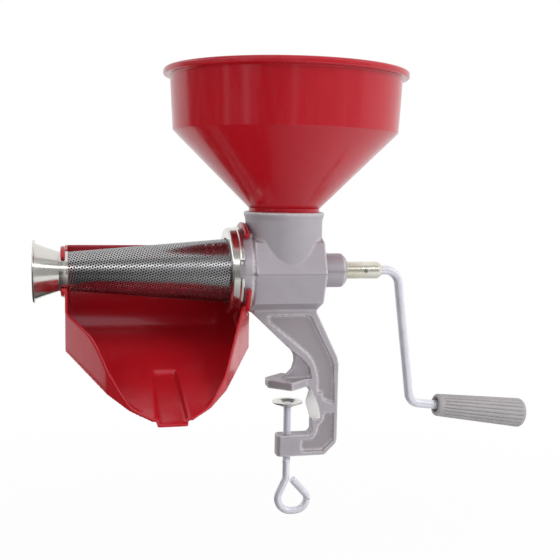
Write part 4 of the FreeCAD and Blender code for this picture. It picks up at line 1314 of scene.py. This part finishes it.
def make_clamp_pad():
    """A pressed dish: turned-over rim, hollow middle and a hole for the rivet."""
    foot = PAD_FOOT_Z
    floor = foot + PAD_FLOOR
    hole = RIVET_RADIUS + RIVET_ROOM
    corner_out, corner_up = DISH_CORNER
    pad = lathe("pressed_pad", [(z, r) for r, z in rounded([
        (hole, foot, 0.0),
        (hole, floor, 0.3),
        (DISH_RADIUS, floor, 1.5),
        (PAD_RADIUS - PAD_BRIM, PAD_RIM_Z, 2.0),
        (PAD_RADIUS, PAD_RIM_Z, 0.7),
        (PAD_RADIUS, PAD_RIM_Z - PAD_EDGE, 0.6),
        (DISH_RADIUS + corner_out, foot + corner_up, 2.0),
        (DISH_RADIUS, foot, 0.4),
    ], steps=5)], "Z", steps=96)
    place(on_screw(pad), "clamp_pad", ["clamp_pad"], BRIGHT, sharp=40.0)


# Juice chute


def floor_under(y):
    return FLOOR_LIP_Z + FLOOR_SLOPE * (y - LIP_Y)


def wall_rim(y, rim):
    """Height of a front wall's rim: a smooth rise. The right one keeps clear of the collar."""
    foot, run, height = rim
    rise = (height - CHUTE_WALL) * eased(held((y - foot) / run))
    top = floor_under(y) + CHUTE_WALL + rise
    if rim == RIGHT_RIM and abs(y) < COLLAR_ROOM:
        top = min(top, -math.sqrt(COLLAR_ROOM ** 2 - y ** 2))
    return top


def floor_line():
    """Side view of the floor's underside, from the lip to the top of the back wall.

    Each place has its y, its z and how far the floor tilts there.
    """
    slope = math.atan(FLOOR_SLOPE)
    middle_y = BACK_Y - BACK_ROUND
    middle_z = floor_under(middle_y) + BACK_ROUND / math.cos(slope)
    flat_end = middle_y + BACK_ROUND * math.sin(slope)
    flat_steps = 60
    round_steps = 20
    line = []
    for k in range(flat_steps):
        y = LIP_Y + (flat_end - LIP_Y) * k / flat_steps
        line.append((y, floor_under(y), slope))
    for k in range(round_steps + 1):
        tilt = slope + (math.pi / 2 - slope) * k / round_steps
        y = middle_y + BACK_ROUND * math.sin(tilt)
        line.append((y, middle_z - BACK_ROUND * math.cos(tilt), tilt))
    line.append((BACK_Y, BACK_TOP_Z, math.pi / 2))
    return line


def chute_sides(y):
    """Left and right edge of the chute at a place towards the back."""
    stops = [(BEND_Y, CHUTE_LEFT_X, CHUTE_RIGHT_X)]
    for stop, half in NARROWS:
        stops.append((stop, CHUTE_MIDDLE_X - half, CHUTE_MIDDLE_X + half))
    for (start, left, right), (end, next_left, next_right) in zip(stops, stops[1:]):
        if y >= end:
            share = max(0.0, (start - y) / (start - end))
            return left + (next_left - left) * share, right + (next_right - right) * share
    return stops[-1][1:]


def channel_drop(x, y):
    """How far the pouring channel is sunk into the floor."""
    narrow, wide = CHANNEL_HALF
    half = narrow + (wide - narrow) * (CHANNEL_START_Y - y) / (CHANNEL_START_Y - CHANNEL_END_Y)
    side = held((half - abs(x - CHUTE_MIDDLE_X)) / CHANNEL_SIDE)
    begin = held((CHANNEL_START_Y - y) / CHANNEL_STEP)
    return CHANNEL_DEPTH * eased(side) * begin


def chute_floor():
    """The floor and the back wall in one sheet, with the pouring channel sunk into it."""
    columns = 120
    sections = []
    for y, z, tilt in floor_line():
        left, right = chute_sides(y)
        under = []
        over = []
        for k in range(columns + 1):
            x = left + (right - left) * k / columns
            drop = channel_drop(x, y)
            under.append((x, y, z - drop))
            over.append((x, y - CHUTE_WALL * math.sin(tilt), z - drop + CHUTE_WALL * math.cos(tilt)))
        sections.append(under + over[::-1])
    return ring_solid("chute_floor", sections)


def chute_wall(side, rim):
    """One side wall, from the lip to the back: a strip that stands on the floor."""
    sections = []
    inwards = CHUTE_WALL if side == 0 else -CHUTE_WALL
    line = [(y, z) for y, z, tilt in floor_line() if z < wall_rim(HOOK_FOOT_Y, rim) - CHUTE_WALL]
    for y, low in line:
        x = chute_sides(y)[side]
        high = wall_rim(min(y, HOOK_FOOT_Y), rim)
        sections.append([(x, y, low), (x + inwards, y, low), (x + inwards, y, high), (x, y, high)])
    return ring_solid("chute_wall", sections)


def chute_end(name, x, hub_x, bore, hub_wall, mouth, tips):
    """An end wall with a hub that hooks over a neck, open to the front between two angles.

    The tips are the corners of the wall round the neck, from the back to the front.
    """
    hub = bore + hub_wall
    back = [(y, z) for y, z, tilt in floor_line() if y > BEND_Y]
    foot = [(HOOK_FOOT_Y, RIM_FOOT_Z), (BEND_Y, RIM_FOOT_Z), (BEND_Y, floor_under(BEND_Y))]
    plate = prism(name, foot + back + list(tips), x, x + CHUTE_WALL)
    hub_end = hub_x + HUB_WIDTH
    ring = lathe(name + "_hub", rounded([
        (hub_x, bore, 0.4), (hub_x, hub, 1.0), (hub_end, hub, 1.0), (hub_end, bore, 0.4),
    ]), steps=128)
    before, past = x - 2 * HUB_WIDTH, x + 2 * HUB_WIDTH
    neck = [(before, ON_AXIS), (before, bore), (past, bore), (past, ON_AXIS)]
    carve(plate, lathe(name + "_room", neck, steps=128))
    reach = 3 * hub
    opening = [(0.0, 0.0)]
    for angle in mouth:
        side = math.radians(angle)
        opening.append((-reach * math.cos(side), reach * math.sin(side)))
    for piece in (plate, ring):
        carve(piece, prism(name + "_mouth", opening, before, past))
    return [plate, ring]


def chute_tongue():
    """The rounded end of the pouring channel, past the lip."""
    half = CHANNEL_HALF[1]
    left, right = CHUTE_MIDDLE_X - half, CHUTE_MIDDLE_X + half
    root = LIP_Y + TONGUE_ROOT
    outline = rounded([
        (left, CHANNEL_END_Y, 3.0),
        (right, CHANNEL_END_Y, 3.0),
        (right, root, 0.0),
        (left, root, 0.0),
    ], steps=5)
    sections = []
    for lift in (-CHANNEL_DEPTH, CHUTE_WALL - CHANNEL_DEPTH):
        sections.append([(x, y, floor_under(y) + lift) for x, y in outline])
    return ring_solid("chute_tongue", sections)


def make_chute():
    parts = [chute_floor(), chute_wall(0, LEFT_RIM), chute_wall(1, RIGHT_RIM), chute_tongue()]
    parts += chute_end("left_end", CHUTE_LEFT_X, LEFT_HUB_X,
                       LEFT_HUB_BORE, LEFT_HUB_WALL, LEFT_MOUTH, LEFT_TIPS)
    parts += chute_end("right_end", RIGHT_HUB_X - CHUTE_WALL, RIGHT_HUB_X - HUB_WIDTH,
                       RIGHT_HUB_BORE, RIGHT_HUB_WALL, RIGHT_MOUTH, RIGHT_TIPS)
    obj = soften(join("juice_chute", parts), grain=0.95, passes=6, kept=0.62)
    place(obj, "chute", ["chute"], RED, sharp=180.0)


# Small solids that keep their shape


def dress_small_pieces():
    """Give the small inner solids their finishes."""
    for node, material, slot in (
        ("shaft_bush", BRONZE, "bush_bronze"),
        ("thrust_washer", PLATED, "plated_rod"),
        ("shaft_seal", RUBBER, "seal_rubber"),
        ("cone_gasket", RUBBER, "seal_rubber"),
        ("crank_pin", PIN, "pin_steel"),
        ("grip_push_nut", PIN, "pin_steel"),
    ):
        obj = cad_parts[node]
        obj.data.materials.clear()
        obj.data.materials.append(material)


# Stage, light and camera


def plain_white(tree, shader, share):
    """White to the camera and in reflections, as far as share goes, and the shader for other light."""
    nodes = Nodes(tree)
    path = nodes.add("ShaderNodeLightPath").outputs
    reflected = nodes.math("MAXIMUM", path["Is Glossy Ray"], path["Is Transmission Ray"])
    seen = nodes.math("MAXIMUM", path["Is Camera Ray"], reflected)
    kind = "ShaderNodeBackground" if shader.type == "BACKGROUND" else "ShaderNodeEmission"
    white = nodes.add(kind, {0: WHITE, 1: 1.0})
    shaders = {0: nodes.times(seen, share), 1: shader.outputs[0], 2: white.outputs[0]}
    return nodes.add("ShaderNodeMixShader", shaders).outputs[0]


def make_floor():
    """A pale floor that is white to the camera, apart from a faint shadow round the mill."""
    size = FLOOR_SIZE
    mesh = bpy.data.meshes.new("floor")
    corners = [(-size, -size), (size, -size), (size, size), (-size, size)]
    mesh.from_pydata([(x, y, cad_low.z - FLOOR_DROP) for x, y in corners], [], [(0, 1, 2, 3)])
    floor = new_object("floor", mesh)
    material = bpy.data.materials.new("pale_floor")
    material.use_nodes = True
    tree = material.node_tree
    shader = tree.nodes["Principled BSDF"]
    shader.inputs["Base Color"].default_value = (0.86, 0.86, 0.86, 1.0)
    shader.inputs["Roughness"].default_value = 0.9
    nodes = Nodes(tree)
    spot = nodes.add("ShaderNodeTexCoord").outputs["Object"]
    away = nodes.add("ShaderNodeVectorMath", {0: spot}, operation="LENGTH").outputs["Value"]
    fade = nodes.ramp(away, *FLOOR_FADE, FLOOR_WHITE, 1.0)
    nodes.feed(tree.nodes["Material Output"].inputs[0], plain_white(tree, shader, fade))
    mesh.materials.append(material)


def make_world():
    """Even light from all round, with a white backdrop."""
    world = bpy.data.worlds.new("studio")
    bpy.context.scene.world = world
    world.use_nodes = True
    tree = world.node_tree
    backdrop = tree.nodes["Background"]
    backdrop.inputs[0].default_value = WHITE
    backdrop.inputs[1].default_value = WORLD_LIGHT
    nodes = Nodes(tree)
    nodes.feed(tree.nodes["World Output"].inputs[0], plain_white(tree, backdrop, 1.0))


def even(value, low, high):
    """How far value is from low to high, held between 0 and 1."""
    return held((value - low) / (high - low))


def card_glow(turn, rise):
    """How bright the studio is in front of the mill, by angle from the camera and by height.

    It is dark low in front and on the left, and lighter to the right and higher up, with four
    lamp strips and one level tube.
    """
    low = CARD_DARK + CARD_GAIN * even(turn, *CARD_GREY)
    glow = low + (max(low, CARD_HIGH) - low) * even(rise, *CARD_HORIZON)
    for strip in LAMP_STRIPS:
        glow = max(glow, STRIP_GLOW * math.exp(-((turn - strip) / STRIP_WIDTH) ** 2))
    return max(glow, CARD_STRENGTH * math.exp(-((rise - TUBE_RISE) / TUBE_WIDTH) ** 4))


def low_glow(across):
    """How bright the table in front is, from left to right of the mill."""
    return TABLE_DARK + (1.0 - TABLE_DARK) * even(across, *TABLE_GREY)


def studio_card(name, rows, columns, spot):
    """A sheet that only reflections see. spot gives each point's place and its brightness."""
    spots = [spot(i, k) for i in range(rows + 1) for k in range(columns + 1)]
    faces = []
    for i in range(rows):
        for k in range(columns):
            first = i * (columns + 1) + k
            faces.append((first, first + 1, first + columns + 2, first + columns + 1))
    mesh = bpy.data.meshes.new(name)
    mesh.from_pydata([place_at for place_at, glow in spots], [], faces)
    card = new_object(name, mesh)
    keep_values(card, "glow", [glow / CARD_STRENGTH for place_at, glow in spots])
    material = bpy.data.materials.new(name)
    material.use_nodes = True
    nodes = Nodes(material.node_tree)
    strength = nodes.times(nodes.attribute("glow"), CARD_STRENGTH)
    light = nodes.add("ShaderNodeEmission", {"Strength": strength})
    nodes.feed(nodes.tree.nodes["Material Output"].inputs[0], light.outputs[0])
    mesh.materials.append(material)
    card.visible_camera = False
    card.visible_diffuse = False
    card.visible_shadow = False
    card.visible_transmission = False


def make_cards():
    """A curved card round the front, and a level one over the table in front."""
    def round_front(i, k):
        turn, rise = CARD_TURN[0] + k, CARD_RISE[0] + i
        angle = math.radians(turn) + CARD_MIDDLE
        height = ORIGIN.z + CARD_RADIUS * math.tan(math.radians(rise))
        place_at = (CARD_RADIUS * math.sin(angle), -CARD_RADIUS * math.cos(angle), height)
        return place_at, card_glow(turn, rise)

    def over_table(i, k):
        across = (2 * k / TABLE_STEPS - 1) * CARD_RADIUS
        deep = TABLE_DEEP[0] + (TABLE_DEEP[1] - TABLE_DEEP[0]) * i
        turned = Matrix.Rotation(CARD_MIDDLE, 3, "Z") @ Vector((across, deep, 0.0))
        return (turned.x, turned.y, cad_low.z - TABLE_DROP), low_glow(across)

    studio_card("front_card", CARD_RISE[1] - CARD_RISE[0], CARD_TURN[1] - CARD_TURN[0], round_front)
    studio_card("table_card", 1, TABLE_STEPS, over_table)


def soft_lamp(name, place_at, target, size, power):
    """A soft lamp that looks at its target and isn't seen in reflections."""
    data = bpy.data.lights.new(name, "AREA")
    data.shape = "RECTANGLE"
    data.size, data.size_y = size
    data.energy = power
    lamp = new_object(name, data)
    lamp.location = place_at
    lamp.visible_glossy = False
    lamp.rotation_mode = "QUATERNION"
    lamp.rotation_quaternion = (target - place_at).to_track_quat("-Z", "Y")


def make_lights():
    middle = (cad_low + cad_high) / 2
    for name, away, size, power in LAMPS:
        soft_lamp(name, middle + Vector(away), middle, size, power)


def make_camera():
    """The camera that was fitted to the photograph."""
    data = bpy.data.cameras.new("camera")
    data.sensor_width = SENSOR_WIDTH
    data.lens = LENS
    camera = new_object("camera", data)
    turn, fall, roll = (math.radians(angle) for angle in CAMERA_ANGLES)
    level = math.cos(fall)
    forward = Vector((math.sin(turn) * level, math.cos(turn) * level, -math.sin(fall)))
    camera.location = ORIGIN + Vector(CAMERA_PLACE) * MM
    camera.rotation_mode = "QUATERNION"
    upright = forward.to_track_quat("-Z", "Y")
    camera.rotation_quaternion = upright @ Matrix.Rotation(roll, 3, "Z").to_quaternion()
    bpy.context.scene.camera = camera


make_hopper()
make_casting()
make_screen()
make_collar()
make_spout()
make_outlet_ring()
make_crank_rod()
make_shaft()
make_grip()
make_grip_cap()
make_auger()
make_clamp_screw()
make_clamp_pad()
make_chute()
dress_small_pieces()
make_floor()
make_world()
make_cards()
make_lights()
make_camera()
bpy.context.scene.view_settings.view_transform = "Standard"
